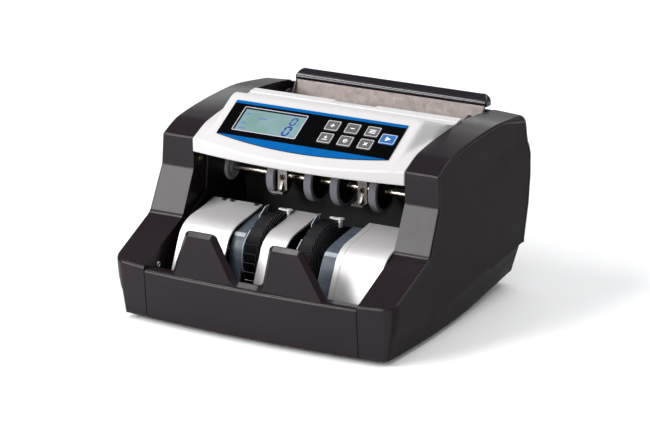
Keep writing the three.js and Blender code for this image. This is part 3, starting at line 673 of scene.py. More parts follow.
def turned_left(a, b):
    """Unit normal (y, z) on the upper side of the step from a to b."""
    step = Vector(b) - Vector(a)
    return Vector((-step.y, step.x)).normalized()


def shoulder_fall(x, y):
    return SHOULDER_DROP * ramp(y, 95, 180) * max(x - BAY_HALF, 0) / SHOULDER_WIDTH


class CoverStation:
    """One place on the cover's edge, with the two surfaces' normals and the rounding between them."""

    def __init__(self, place, top_normal, side_normal, radius):
        self.top_normal = Vector(top_normal).normalized()
        self.side_normal = Vector(side_normal).normalized()
        both = self.top_normal + self.side_normal
        self.centre = Vector(place) - both * (radius / (1 + self.top_normal.dot(self.side_normal)))
        self.radius = radius

    def on_round(self, share):
        return self.centre + self.radius * arc_between(self.top_normal, self.side_normal, share)


def cover_stations():
    """Stations along the front edge, round the front corner and over the top to the rear."""
    slope = (0, *turned_left(SLOPE_START, SLOPE_END))
    rise = (SLOPE_END[1] - SLOPE_START[1]) / (SLOPE_END[0] - SLOPE_START[0])

    def top_of_slope(y):
        return SLOPE_START[1] + (y - SLOPE_START[0]) * rise

    stations = []
    corner_x = SIDE_HALF - FRONT_RADIUS
    corner_y = front_face(corner_x, 45) + FRONT_RADIUS
    for x in (BAY_HALF, 104.5, 109, 114, 119):
        y = front_face(x, 45)
        lean = 0 if x == BAY_HALF else 2 * FRONT_BOW * x / BAY_HALF ** 2
        stations.append(CoverStation((x, y, top_of_slope(y)), slope, (lean, -1, 0), BAND_ROUND))
    for i in range(10):
        angle = math.radians(-85 + 85 * i / 9)
        side = (math.cos(angle), math.sin(angle), 0)
        y = corner_y + FRONT_RADIUS * side[1]
        swell = skin_half(y, top_of_slope(y)) - corner_x - FRONT_RADIUS
        x = corner_x + (FRONT_RADIUS + swell) * side[0]
        radius = mix(BAND_ROUND, EDGE_ROUND, i / 9)
        stations.append(CoverStation((x, y, top_of_slope(y)), slope, side, radius))
    line = [p for p in top_line() if p[0] > corner_y + 1]
    for i, (y, z) in enumerate(line):
        before = line[max(i - 1, 0)]
        after = line[min(i + 1, len(line) - 1)]
        normal = turned_left(before, after)
        x = skin_half(y, z)
        top = (SHOULDER_DROP / SHOULDER_WIDTH * ramp(y, 95, 180), *normal)
        radius = mix(EDGE_ROUND, REAR_RADIUS, smooth_ramp(y, 200, 246))
        stations.append(CoverStation((x, y, z - shoulder_fall(x, y)), top, (1, 0, 0), radius))
    return stations, line[-1][1]


def low_rows(y):
    """Heights of the skin's rows below the band, which follow the lower crease."""
    crease = crease_height(y)
    undercut = undercut_height(y)
    return [0, undercut, mix(undercut, crease - 2, 0.5), crease - 2, crease, (crease + 40) / 2, 40]


def rear_stations(start):
    """Stations down the rear edge, from the end of the top's rounding to the lower edge."""
    upper = [137, 131, 126, 124, 122, 118, 114, 108, 95, 83, 71, 56]
    stations = []
    for z in [h for h in upper if h < start - 2] + low_rows(on_line(40, BACK) - REAR_RADIUS)[::-1]:
        y = on_line(z, BACK)
        slope = (on_line(z + 1, BACK) - on_line(max(z - 1, 0), BACK)) / (2 if z else 1)
        x = skin_half(y - REAR_RADIUS / 2, z)
        stations.append(CoverStation((x, y, z), (0, 1, -slope), (1, 0, 0), REAR_RADIUS))
        if z == 0:
            stations[-1].centre.z = 0
            stations[-1].top_normal = Vector((0, 1, 0))
    return stations


def side_cover(side):
    """A hollow pod: front, side, top and rear in one skin, with its inner wall and shaft holes."""
    form = Form()

    def place(point):
        return side * point[0], point[1], point[2]

    over, top_end = cover_stations()
    down = rear_stations(top_end)
    everything = over + down
    round_steps = 6
    rounds = [[s.on_round(k / round_steps) for k in range(round_steps + 1)] for s in everything]
    form.grid([[place(p) for p in points] for points in rounds])
    across = [0, 0.04, 0.3, 0.6, 0.9, 1]
    rows = []
    for points in rounds:
        edge = points[0]
        inner_z = edge.z + shoulder_fall(edge.x, edge.y)
        rows.append([(mix(BAY_HALF, edge.x, t), edge.y, mix(inner_z, edge.z, t)) for t in across])
    form.grid([[place(p) for p in row] for row in rows])
    rear_edge = [points[-1] for points in rounds[len(over) - 1:]]
    rear_line = sorted((p.z, p.y) for p in rear_edge)
    last_y = rear_edge[0].y
    squeeze_from = 200.0
    columns = []
    for index, points in enumerate(rounds[: len(over)]):
        top = points[-1]
        if index == len(over) - 1:
            columns.append([tuple(p) for p in rear_edge[::-1]])
            continue
        low = low_rows(top.y)
        upper = [(p.z - 40) / (rear_edge[0].z - 40) for p in rear_edge[::-1][len(low):]]
        column = []
        for z in low + [mix(40, top.z, share) for share in upper]:
            y = top.y
            if y > squeeze_from:
                y = squeeze_from + (y - squeeze_from) * (on_line(z, rear_line) - squeeze_from) / (
                    last_y - squeeze_from
                )
            column.append((*outer_plan(everything[index], top, y, z), z))
        column[-1] = tuple(top)
        columns.append(column)
    skin = [[place(p) for p in column] for column in columns]
    turned = next(i for i, s in enumerate(everything) if s.side_normal.x > 0.6)
    form.grid(skin[: turned + 1])
    form.grid(skin[turned:], 1)
    wall = [tuple(p) for p in columns[0]]
    wall += [tuple(p) for p in rounds[0][::-1][1:]]
    wall += [row[0] for row in rows[1:]]
    wall = [(BAY_HALF, p[1], p[2]) for p in wall]
    holes = [
        [(BAY_HALF, y, z) for y, z in circle(*spot, 6, 20)] for spot in SHAFT_HOLES[side]
    ]
    form.flat([[place(p) for p in loop] for loop in [wall, *holes]])
    name = "right" if side > 0 else "left"
    form.piece(
        name + "_cover_shell", "housing", "satin_black", [SATIN_BLACK, SIDE_BLACK],
        replaces=[name + "_side_cover"], bevel=0.8, thick=WALL, sharp=50.0,
    )


def outer_plan(station, top, y, z):
    """Where a column of the skin stands at height z: on the front, the corner or the side."""
    normal = station.side_normal
    if normal.x > 0.999:
        return skin_half(y, z) + top.x - skin_half(top.y, top.z), y
    tuck = skin_half(top.y, z) - skin_half(top.y, top.z)
    return top.x + tuck * max(normal.x, 0), top.y + front_lean(z) * -normal.y


def centre_of(node):
    low, high = box_mm(node)
    return (low + high) / 2


SHAFT_HOLES = {
    -1: [centre_of(node).yz[:] for node in ("counting_pulley", "feed_shaft", "main_motor_pulley")],
    1: [
        centre_of(node).yz[:]
        for node in ("counting_shaft", "feed_shaft", "stacker_pulley", "stacker_motor_pulley")
    ],
}

for cover_side in (-1, 1):
    side_cover(cover_side)

# ---------------------------------------------------------------- front panel and its guards

GUARD_Y, GUARD_THICKNESS, GUARD_TOP, GUARD_CHAMFER = 3.2, 5.0, 83.0, 3.4
PANEL_DEPTH = 14.0


def front_panel_skin():
    """The low band across the front: bowed, leaning, with a rounded upper edge and a ledge."""
    form = Form()
    rise = [0, 6, 12, 20, 28, 34, 38]
    rows = []
    stations = 32
    for i in range(stations + 1):
        x = CENTRE_HALF * (2 * i / stations - 1)
        row = [(x, front_face(x, z), z) for z in rise]
        y = front_face(x, 43)
        for k in range(7):
            angle = math.radians(90 * k / 6)
            row.append(
                (
                    x,
                    y + BAND_ROUND * (1 - math.cos(angle)),
                    BAND_TOP - BAND_ROUND * (1 - math.sin(angle)),
                )
            )
        row += [(x, y + 5.5, BAND_TOP), (x, 11, BAND_TOP), (x, PANEL_DEPTH, BAND_TOP)]
        row += [(x, PANEL_DEPTH, 20), (x, PANEL_DEPTH, 3.6)]
        rows.append(row)
    form.grid(rows)
    for row in (rows[0], rows[-1]):
        x = row[0][0]
        form.flat([[*row, (x, 9, 3.6), (x, 9, 0)]])
    form.piece(
        "front_band", "housing", "satin_black", [SATIN_BLACK], replaces=["front_panel"], bevel=0.5,
        sharp=50.0,
    )


def moved_in(corners, by):
    """The corners (a, b, radius) of a counter-clockwise outline, drawn in with their radii."""
    made = []
    for i, (a, b, radius) in enumerate(corners):
        here = Vector((a, b))
        before = (here - Vector(corners[i - 1][:2])).normalized()
        after = (Vector(corners[(i + 1) % len(corners)][:2]) - here).normalized()
        inward = Vector((-before.y - after.y, before.x + after.x)).normalized()
        reach = by / inward.dot(Vector((-before.y, before.x)))
        hollow = before.x * after.y - before.y * after.x < 0
        place = here + inward * reach
        made.append((place.x, place.y, max(radius + (by if hollow else -by), 0.4)))
    return made


def note_guards():
    """Two tapered guards with chamfered edges that hold the stack, joined by the lip between them."""
    corners = [
        (-74.6, BAND_TOP - 12, 0.1),
        (74.9, BAND_TOP - 12, 0.1),
        (72.9, BAND_TOP + 0.4, 0.5),
        (49.6, GUARD_TOP, 5.0),
        (19.6, GUARD_TOP, 4.8),
        (12.2, 46.6, 5.5),
        (-13.6, 46.6, 9.0),
        (-33.0, GUARD_TOP, 6.0),
        (-60.6, GUARD_TOP, 5.0),
        (-74.6, BAND_TOP + 0.4, 0.5),
    ]
    outer = rounded(corners, 7)
    inner = rounded(moved_in(corners, GUARD_CHAMFER), 7)
    front = [(a, GUARD_Y, b) for a, b in inner]
    edge = [(a, GUARD_Y + GUARD_CHAMFER, b) for a, b in outer]
    back = [(a, GUARD_Y + GUARD_THICKNESS, b) for a, b in outer]
    form = Form()
    form.grid([front, edge, back], wrap=True)
    form.flat([front])
    form.flat([back])
    form.piece("note_guards", "housing", "satin_black", [SATIN_BLACK], bevel=0.9, sharp=30.0)


front_panel_skin()
note_guards()

# ---------------------------------------------------------------- white control panel cover

COVER_HALF = BAY_HALF - 0.5
COVER_BACK = 186.0
VISOR_BOTTOM = 125.0
VISOR_ROUND = 2.6
DECK = [
    (60, 126.5), (88.1, 139.2), (97.8, 143.6), (106.8, 146.6), (129.2, 150.4),
    (155.3, 153.4), (184, 155.5), (200, 155.6),
]
DECK_SMOOTH = curve_through(DECK, 8)


def visor_front(x):
    return 72.5 + 10.5 * (x / 101) ** 2


def soft_least(a, b, width):
    """The lower of two heights, with a rounded corner about width across where they meet."""
    share = ramp(b - a, -width, width)
    return mix(b, a, share) - width * share * (1 - share)


def soft_most(a, b, width):
    return -soft_least(-a, -b, width)


def cover_height(x, y):
    """The white cover's upper face: the deck, with the soft-shouldered platform standing on it."""
    deck = on_line(y, DECK_SMOOTH)
    slope = math.tan(PANEL_TILT)
    plane = PANEL_Z + (y - PANEL_Y) * slope - 0.35
    flank = plane + (91.8 - abs(x)) * 1.9
    back_fall = 167.4 - (y - 133.5) * 0.36
    edges = soft_least(back_fall, flank, 7.0)
    platform = soft_least(plane, edges, 4.4)
    return soft_most(deck, platform, 2.4)


def rim_step(x, y):
    """The raised rim at the rear edge, with its shallow finger notch in the middle."""
    step = 1.1 * smooth_ramp(y, 176.2, 177.4)
    notch = 1.3 * ramp(20.5 - abs(x), 0, 2.5) * smooth_ramp(y, 179.5, 181)
    return step - notch


def control_cover():
    form = Form()
    side = [84, 86, 88, 89.5, 91, 92.3, 93.6, 95, 96.5, 98, 99.5, COVER_HALF]
    middle = [-78 + 156 * i / 26 for i in range(27)]
    near_notch = [-21, -20, -19, -18, -17, 17, 18, 19, 20, 21]
    xs = sorted({-x for x in side} | set(side) | set(middle) | set(near_notch))
    xs = [x for x in xs if not 0 < min(abs(x - n) for n in near_notch) < 0.6]
    shares = [k / 40 for k in range(41)]
    rows = []
    for x in xs:
        front = visor_front(x)
        edge = cover_height(x, front + VISOR_ROUND)
        slope = math.atan2(cover_height(x, front + VISOR_ROUND + 2) - edge, 2)
        row = [(x, front + 6, VISOR_BOTTOM), (x, front + 1.2, VISOR_BOTTOM)]
        row += [(x, front + 0.3, VISOR_BOTTOM + 0.35), (x, front, VISOR_BOTTOM + 1.3)]
        reach = VISOR_ROUND * math.tan((math.pi / 2 - slope) / 2)
        corner_z = cover_height(x, front)
        row.append((x, front, mix(VISOR_BOTTOM + 1.3, corner_z - reach, 0.5)))
        centre_y = front + VISOR_ROUND
        centre_z = corner_z - reach
        for k in range(8):
            angle = math.pi - (math.pi / 2 - slope) * k / 7
            row.append(
                (
                    x,
                    centre_y + VISOR_ROUND * math.cos(angle),
                    centre_z + VISOR_ROUND * math.sin(angle),
                )
            )
        start = row[-1][1]
        for share in shares[1:]:
            y = mix(start + 0.6, 175.5, share)
            row.append((x, y, cover_height(x, y)))
        for y in (176.2, 176.6, 177, 177.4, 178.4, 179.5, 180, 180.5, 181, 183, 185, COVER_BACK - 0.4):
            row.append((x, y, cover_height(x, y) + rim_step(x, y)))
        row.append((x, COVER_BACK, cover_height(x, COVER_BACK) + rim_step(x, COVER_BACK) - 0.6))
        row.append((x, COVER_BACK, VISOR_BOTTOM + 1))
        rows.append(row)
    form.grid(rows)
    for row in (rows[0], rows[-1]):
        form.flat([row])
    form.piece(
        "control_cover_skin", "housing", "gloss_white", [GLOSS_WHITE],
        replaces=["control_panel_cover"], sharp=55.0,
    )


control_cover()

# ---------------------------------------------------------------- overlay, display and keys

OVERLAY_HALF, OVERLAY_HIGH, OVERLAY_BOW, FILM = 82.6, 20.1, 9.0, 0.7
STRIP_HEIGHT = 3.3
INK = 0.05
DISPLAY_X0, DISPLAY_X1, DISPLAY_HIGH = -70.5, -9.9, 13.3
GLASS_TOP = 0.3
DIGIT_SLANT = 0.12
KEY_WIDTH, KEY_HEIGHT, KEY_TOP, KEY_BOTTOM = 13.0, 11.5, 1.5, -4.6
START_WIDTH, START_HEIGHT = 14.8, 11.2
KEY_PLACES = {
    "key_plus": (17.5, 6.9), "key_minus": (36.4, 6.9), "key_batch": (55.5, 6.9),
    "key_add": (17.5, -7.7), "key_light": (36.4, -7.7), "key_clear": (55.5, -7.7),
    "key_start": (72.5, 1.3),
}


def rectangle(x0, x1, s0, s1, radius=0.0):
    corners = [(x0, s0), (x1, s0), (x1, s1), (x0, s1)]
    return rounded([(*corner, radius) for corner in corners], 4) if radius else corners


def sheet_with_holes(form, loops, place, near, far, material=0):
    """A flat sheet between two depths, its outline first and then its holes."""
    for depth in (near, far):
        form.flat([[place(a, b, depth) for a, b in loop] for loop in loops], material)
    for loop in loops:
        low = form.verts([place(a, b, near) for a, b in loop])
        high = form.verts([place(a, b, far) for a, b in loop])
        for i, vert in enumerate(low):
            j = (i + 1) % len(low)
            form.face((vert, low[j], high[j], high[i]), material)


def key_size(node):
    return (START_WIDTH, START_HEIGHT) if node == "key_start" else (KEY_WIDTH, KEY_HEIGHT)


def key_rectangle(node, grow, radius):
    x, s = KEY_PLACES[node]
    w, h = (size / 2 + grow for size in key_size(node))
    return rectangle(x - w, x + w, s - h, s + h, radius)


def bowed_edge(steps=24):
    points = []
    for i in range(steps + 1):
        share = 2 * i / steps - 1
        points.append((share * OVERLAY_HALF, -OVERLAY_HIGH - OVERLAY_BOW * (1 - share * share)))
    return points


def print_on(name, loops_list, depth, body, slot, material):
    """Ink: thin raised shapes, each a list of an outline and its holes."""
    form = Form()
    for loops in loops_list:
        sheet_with_holes(form, loops, from_panel, depth, depth + INK)
    form.piece(name, body, slot, [material])


def overlay():
    top = [(OVERLAY_HALF, OVERLAY_HIGH), (-OVERLAY_HALF, OVERLAY_HIGH)]
    window = rectangle(DISPLAY_X0, DISPLAY_X1, -DISPLAY_HIGH, DISPLAY_HIGH, 0.8)
    keys = [key_rectangle(node, 0.3, 1.2) for node in KEY_PLACES]
    form = Form()
    sheet_with_holes(form, [bowed_edge() + top, window, *keys], from_panel, 0, FILM)
    form.piece("overlay_film", "housing", "gloss_black", [PRINT_BLACK], replaces=["membrane_overlay"])
    strip = rectangle(-OVERLAY_HALF, OVERLAY_HALF, OVERLAY_HIGH - STRIP_HEIGHT, OVERLAY_HIGH)
    crescent = [
        (x, mix(s, -OVERLAY_HIGH + 0.2, 0.03)) for x, s in bowed_edge()[1:-1]
    ] + [(OVERLAY_HALF - 1.5, -OVERLAY_HIGH), (-OVERLAY_HALF + 1.5, -OVERLAY_HIGH)]
    print_on("overlay_blue_bands", [[strip], [crescent]], FILM, "housing", "key_blue", PRINT_BLUE)


def seven_segment_zero(x, s, width, height, stroke):
    """The six lit segments of a leaning 0, as separate outlines."""
    w, h, gap = width / 2 - stroke / 2, height / 2 - stroke / 2, 0.12

    def bar(ax, ay, bx, by):
        start, end = Vector((ax, ay)), Vector((bx, by))
        along = (end - start).normalized()
        side = Vector((-along.y, along.x)) * (stroke / 2)
        start += along * gap
        end -= along * gap
        tip = along * (stroke / 2)
        above = [start, start + tip + side, end - tip + side]
        below = [end, end - tip - side, start + tip - side]
        return [[(x + p.x + DIGIT_SLANT * p.y, s + p.y) for p in above + below]]

    return [
        bar(-w, h, w, h), bar(w, h, w, 0), bar(w, 0, w, -h),
        bar(w, -h, -w, -h), bar(-w, -h, -w, 0), bar(-w, 0, -w, h),
    ]


def dashes(x, s, count, length, height, gap):
    step = length + gap
    return [
        [rectangle(x + i * step, x + i * step + length, s - height / 2, s + height / 2)]
        for i in range(count)
    ]


def display():
    carry("lcd_module", DISPLAY, 0.0)
    rim_out = rectangle(DISPLAY_X0 - 0.7, DISPLAY_X1 + 0.7, -DISPLAY_HIGH - 0.7, DISPLAY_HIGH + 0.7, 1.2)
    rim_in = rectangle(DISPLAY_X0, DISPLAY_X1, -DISPLAY_HIGH, DISPLAY_HIGH, 0.8)
    print_on("display_rim", [[rim_out, rim_in]], FILM, "housing", "display", DISPLAY_RIM)
    # painted shadow: dark strips along only the top and left inside the window, where the window's edge
    # would shade the glass
    edge = 1.2
    window_shadow = [
        [rectangle(DISPLAY_X0 + 0.4, DISPLAY_X1 - 0.4, DISPLAY_HIGH - 0.4 - edge, DISPLAY_HIGH - 0.4)],
        [rectangle(DISPLAY_X0 + 0.4, DISPLAY_X0 + 0.4 + edge, -DISPLAY_HIGH + 0.4, DISPLAY_HIGH - 1.7)],
    ]
    print_on("display_window_shadow", window_shadow, GLASS_TOP, "housing", "display", PRINT_BLACK)
    digits = seven_segment_zero(-19.6, 5.1, 5.8, 9.2, 1.35)
    digits += seven_segment_zero(-20.9, -6.3, 7.0, 11.4, 1.75)
    print_on("display_digits", digits, GLASS_TOP, "housing", "display", DISPLAY_INK)
    marks = dashes(-66.2, 6.8, 2, 1.7, 1.5, 0.6) + dashes(-52.6, 3.1, 4, 1.5, 1.5, 0.5)
    marks += dashes(-66.0, -4.1, 2, 1.7, 1.5, 0.6) + dashes(-66.0, -10.1, 3, 1.7, 1.6, 0.5)
    marks += dashes(-15.0, 1.6, 2, 0.9, 0.9, 0.4) + dashes(-15.6, -11.0, 2, 1.1, 1.0, 0.4)
    print_on("display_marks", marks, GLASS_TOP, "housing", "display", DISPLAY_INK_PALE)


def cross(x, s, reach, half, turn=0.0):
    corners = [
        (half, half), (reach, half), (reach, -half), (half, -half), (half, -reach), (-half, -reach),
        (-half, -half), (-reach, -half), (-reach, half), (-half, half), (-half, reach), (half, reach),
    ]
    c, d = math.cos(turn), math.sin(turn)
    return [(x + a * c - b * d, s + a * d + b * c) for a, b in corners]


def key_symbol(node):
    """A plain sign on each key: add, take away, a stack of notes, a sum, a lamp, clear and start."""
    x, s = KEY_PLACES[node]

    def bar(low, high, reach):
        return [rectangle(x - reach, x + reach, s + low, s + high)]

    return {
        "key_plus": [[cross(x, s, 2.0, 0.42)]],
        "key_minus": [bar(-0.42, 0.42, 2.0)],
        "key_batch": [bar(1.3, 2.0, 3.0), bar(-0.35, 0.35, 3.0), bar(-2.0, -1.3, 3.0)],
        "key_add": [[cross(x, s + 0.8, 1.5, 0.36)], bar(-2.3, -1.6, 2.4)],
        "key_light": [[circle(x, s, 2.0), circle(x, s, 1.35)], [circle(x, s, 0.6)]],
        "key_clear": [[cross(x, s, 2.3, 0.40, math.radians(45))]],
        "key_start": [[[(x - 2.0, s - 2.4), (x + 2.6, s), (x - 2.0, s + 2.4)]]],
    }[node]


def keys():
    for node in KEY_PLACES:
        slot, cap = ("key_blue", KEY_BLUE) if node == "key_start" else ("key_grey", KEY_GREY)
        form = Form()
        form.prism(key_rectangle(node, 0.0, 1.1), from_panel, KEY_BOTTOM, KEY_TOP)
        form.piece(node + "_cap", node, slot, [cap], replaces=[node], bevel=0.35)
        ring = [[key_rectangle(node, -0.45, 0.8), key_rectangle(node, -1.0, 0.5)]]
        print_on(node + "_ring", ring, KEY_TOP, node, slot, PRINT_SILVER)
        print_on(node + "_sign", key_symbol(node), KEY_TOP, node, slot, PRINT_WHITE)


overlay()
display()
keys()

# ---------------------------------------------------------------- rollers and shafts


def roller(name, node, body, tyre_width, rim, hub_reach):
    """A rubber tyre on a dished black core, with a hub that stands out on both sides."""
    low, high = box_mm(node)
    x, y, z = (low + high) / 2
    radius = max(high.z - low.z, high.y - low.y) / 2
    w = tyre_width / 2
    core = radius - rim
    half = [
        (-hub_reach, 3.8), (-hub_reach, 7.1), (-hub_reach + 0.3, 7.5), (-w + 1.2, 7.5),
        (-w + 0.9, 8.0), (-w + 0.9, core - 0.9), (-w + 0.6, core - 0.3), (-w, core),
        (-w, radius - 0.9), (-w + 0.15, radius - 0.4), (-w + 0.45, radius - 0.12), (-w + 0.9, radius),
    ]
    profile = half + [(-a, r) for a, r in half[::-1]] + [half[0]]
    tyre = len(half)
    kinds = [0 if tyre - 5 <= k <= tyre + 3 else 1 for k in range(len(profile) - 1)]
    form = Form()
    form.turned_x([(x + a, r) for a, r in profile], y, z, 96, materials=kinds)
    form.piece(name, body, "grey_rubber", [GREY_RUBBER, WHEEL_BLACK], replaces=[node])


def shaft(name, node, body, grooves, radius=3.5):
    """A ground steel shaft with chamfered ends and a clip groove beside each roller."""
    low, high = box_mm(node)
    x0, x1 = low.x, high.x
    y, z = ((low + high) / 2).yz
    profile = [(x0, 0), (x0, radius - 0.5), (x0 + 0.5, radius)]
    for x in sorted(grooves):
        floor = radius - 0.5
        profile += [(x - 0.5, radius), (x - 0.5, floor), (x + 0.5, floor), (x + 0.5, radius)]
    profile += [(x1 - 0.5, radius), (x1, radius - 0.5), (x1, 0)]
    form = Form()
    form.turned_x(profile, y, z, 48)
    form.piece(name, body, "bright_steel", [BRIGHT_STEEL], replaces=[node], sharp=30.0)


def end_disc():
    """The pale cup on the counting shaft's left end, inside the bay."""
    y, z = centre_of("counting_shaft").yz
    x0, x1, radius = -101.2, -96.2, 12.0
    profile = [
        (x0, 3.55), (x0, radius - 1), (x0 + 0.3, radius - 0.3), (x0 + 1, radius), (x1 - 1.4, radius),
        (x1 - 0.5, radius - 0.4), (x1, radius - 1.3), (x1, radius - 2.6), (x1 - 0.9, radius - 3.4),
        (x1 - 1.1, 6.0), (x1 - 0.4, 5.4), (x1, 4.6), (x1, 3.55), (x0, 3.55),
    ]
    form = Form()
    form.turned_x(profile, y, z, 64)
    form.piece("shaft_end_disc", "counting_rotor", "nylon", [DISC_GREY])


ROLLER_X = [centre_of(f"counting_roller_{i}").x for i in range(1, 5)]
shaft(
    "counting_shaft_bar", "counting_shaft", "counting_rotor",
    [x + side * 5.8 for x in ROLLER_X for side in (-1, 1)],
)
end_disc()
for number in range(1, 5):
    node = f"counting_roller_{number}"
    roller(f"counting_wheel_{number}", node, "counting_rotor", 7.5, 3.4, 4.75)
for node in ("feed_roller_left", "feed_roller_right"):
    roller(node + "_wheel", node, "feed_rotor", 12.0, 3.0, 6.0)
shaft("stacker_shaft_bar", "stacker_shaft", "stacker_rotor", [-36, -14, 14, 36])

# ---------------------------------------------------------------- stacking wheels, shrouds and plates

VANES, VANE_SWEEP, VANE_THICKNESS = 30, 2.0, 0.8


def stacker_wheel(node):
    """A wheel of thin vanes that curl back from the hub to the rim and overlap one another."""
    low, high = box_mm(node)
    y, z = centre_of("stacker_shaft").yz
    x0, x1 = low.x, high.x
    rim = (high.y - low.y) / 2 - 0.2
    form = Form()
    hub = [
        (x0, 3.9), (x0, 13.2), (x0 + 0.8, 14), (x1 - 0.8, 14), (x1, 13.2), (x1, 11), (x1 - 1, 10.4),
        (x1 - 1, 6.4), (x1, 6), (x1, 3.9), (x0, 3.9),
    ]
    form.turned_x(hub, y, z, 48)
    steps = 15
    for number in range(VANES):
        start = 2 * math.pi * number / VANES
        spine = []
        for k in range(steps + 1):
            share = k / steps
            radius = mix(12.8, rim, share)
            angle = start - VANE_SWEEP * share ** 0.85
            spine.append(Vector((y + radius * math.cos(angle), z + radius * math.sin(angle))))
        sides = ([], [])
        for k, point in enumerate(spine):
            along = spine[min(k + 1, steps)] - spine[max(k - 1, 0)]
            across = Vector((-along.y, along.x)).normalized()
            half = VANE_THICKNESS / 2 * (0.5 if k == steps else 1)
            sides[0].append(point + across * half)
            sides[1].append(point - across * half)
        left, right = [
            [[(x, p.x, p.y) for p in line] for line in sides] for x in (x0 + 5.6, x1 - 0.8)
        ]
        form.grid([left[0], right[0]])
        form.grid([left[1], right[1]])
        # index 1 is the lighter edge colour, a painted highlight on the vanes' end faces
        form.grid(left, 1)
        form.grid(right, 1)
        for end in (0, -1):
            form.grid([[left[0][end], right[0][end]], [left[1][end], right[1][end]]], 1)
    form.piece(
        node + "_vanes", "stacker_rotor", "matt_black", [WHEEL_BLACK, WHEEL_EDGE_HIGHLIGHT],
        replaces=[node], sharp=35.0,
    )


def bent_sheet(form, skin, x0, x1, thickness, material=0, edge_material=None):
    """A sheet that follows a smooth (y, z) line, its thickness on the lower side."""
    line = curve_through(skin, 8)
    under = []
    for i, point in enumerate(line):
        along = Vector(line[min(i + 1, len(line) - 1)]) - Vector(line[max(i - 1, 0)])
        across = Vector((-along.y, along.x)).normalized() * thickness
        under.append((point[0] + across.x, point[1] + across.y))
    across_x = [x0, x0 + 0.35, x1 - 0.35, x1]
    form.grid([[(x, *p) for p in line] for x in across_x], material)
    form.grid([[(x, *p) for p in under] for x in across_x], material)
    edge = material if edge_material is None else edge_material
    for x in (x0, x1):
        form.grid([[(x, *p) for p in line], [(x, *p) for p in under]], edge)
    for k in (0, -1):
        form.grid([[(x, *line[k]) for x in across_x], [(x, *under[k]) for x in across_x]], edge)


SHROUDS = {
    "wheel_guard_left": [
        (100, 76.5), (84, 74.4), (69, 71.2), (58.6, 68.0), (52.6, 59), (50.2, 50), (49.0, 42),
        (46.6, 30),
    ],
    "wheel_guard_right": [
        (100, 76.5), (82, 74.0), (64, 71.0), (52.6, 66.6), (46.0, 57), (40.8, 46), (36.8, 36),
        (33.5, 24),
    ],
}
BLADE_THICKNESS, PLATE_THICKNESS = 0.8, 1.6
NEAR_BLADE = [
    (58, 73.6), (61.4, 64.7), (64.8, 53.9), (66.5, 38.7), (60, 31), (49, 35), (44.4, 44),
    (44.1, 54.8), (46.2, 63.1), (50.4, 68.2),
]
FAR_BLADE = [
    (72, 82.8), (81, 88), (87, 88), (80.4, 79.6), (77.8, 70.3), (75, 56), (72, 50), (70.4, 60),
    (70.8, 72),
]


def wheel_shrouds():
    """Smoky clear mouldings beside each wheel; their rims and edges get a lighter colour, a painted
    glint.
    """
    for node, skin in SHROUDS.items():
        low, high = box_mm(node)
        form = Form()
        bent_sheet(form, skin, low.x, high.x, 1.8, 0, 1)
        y, z = skin[3]
        ridge = [(y + 1.6, z + 1.5), (y - 0.7, z + 0.5), (y - 1.4, z - 1.6), (y + 0.8, z - 1.4)]
        form.prism(ridge, along_x, low.x + 0.3, high.x - 0.3, 1)
        form.piece(
            node + "_moulding", "housing", "smoky_plastic", [SMOKY_PLASTIC, CLEAR_EDGE_GLINT],
            replaces=[node], sharp=35.0,
        )
    blades = {
        "left_near": (-30.6, NEAR_BLADE), "left_far": (-29.7, FAR_BLADE),
        "right_near": (19.4, NEAR_BLADE), "right_far": (20.3, FAR_BLADE),
    }
    for name, (x, outline) in blades.items():
        form = Form()
        inset = [(a, b) for a, b, _ in moved_in([(*p, 1.0) for p in outline[::-1]], 0.55)][::-1]
        sides = (x, x + BLADE_THICKNESS)
        # the 0.55 mm band round each blade and its edges take the lighter colour, a painted glint
        for at in sides:
            form.grid([[(at, *p) for p in outline], [(at, *p) for p in inset]], 1, wrap=True)
            form.flat([[(at, *p) for p in inset]], 0)
        form.grid([[(at, *p) for p in outline] for at in sides], 1, wrap=True)
        form.piece(
            "wheel_blade_" + name, "housing", "smoky_plastic", [SMOKY_PLASTIC, CLEAR_EDGE_GLINT], sharp=30.0,
        )


def stacker_plates():
    """Silver plates bent over the front, the right one with a pressed fold line."""
    skin = [(105, 80.5), (84, 77), (62, 73.5), (50.5, 66.5), (44.5, 56), (36, 38), (30, 20), (27, 6)]
    for side in ("left", "middle", "right"):
        node = "stacker_plate_" + side
        low, high = box_mm(node)
        form = Form()
        if side == "right":
            bent_sheet(form, skin, low.x, low.x + 5.2, PLATE_THICKNESS)
            bent_sheet(form, skin, low.x + 5.6, BAY_HALF - 0.2, PLATE_THICKNESS)
            bent_sheet(form, [(y + 0.5, z - 0.5) for y, z in skin], low.x + 5.0, low.x + 5.8, 1.0)
        else:
            bent_sheet(form, skin, low.x, high.x, PLATE_THICKNESS)
        form.piece(
            node + "_sheet", "housing", "stacker_silver", [STACKER_SILVER], replaces=[node], sharp=40.0,
        )


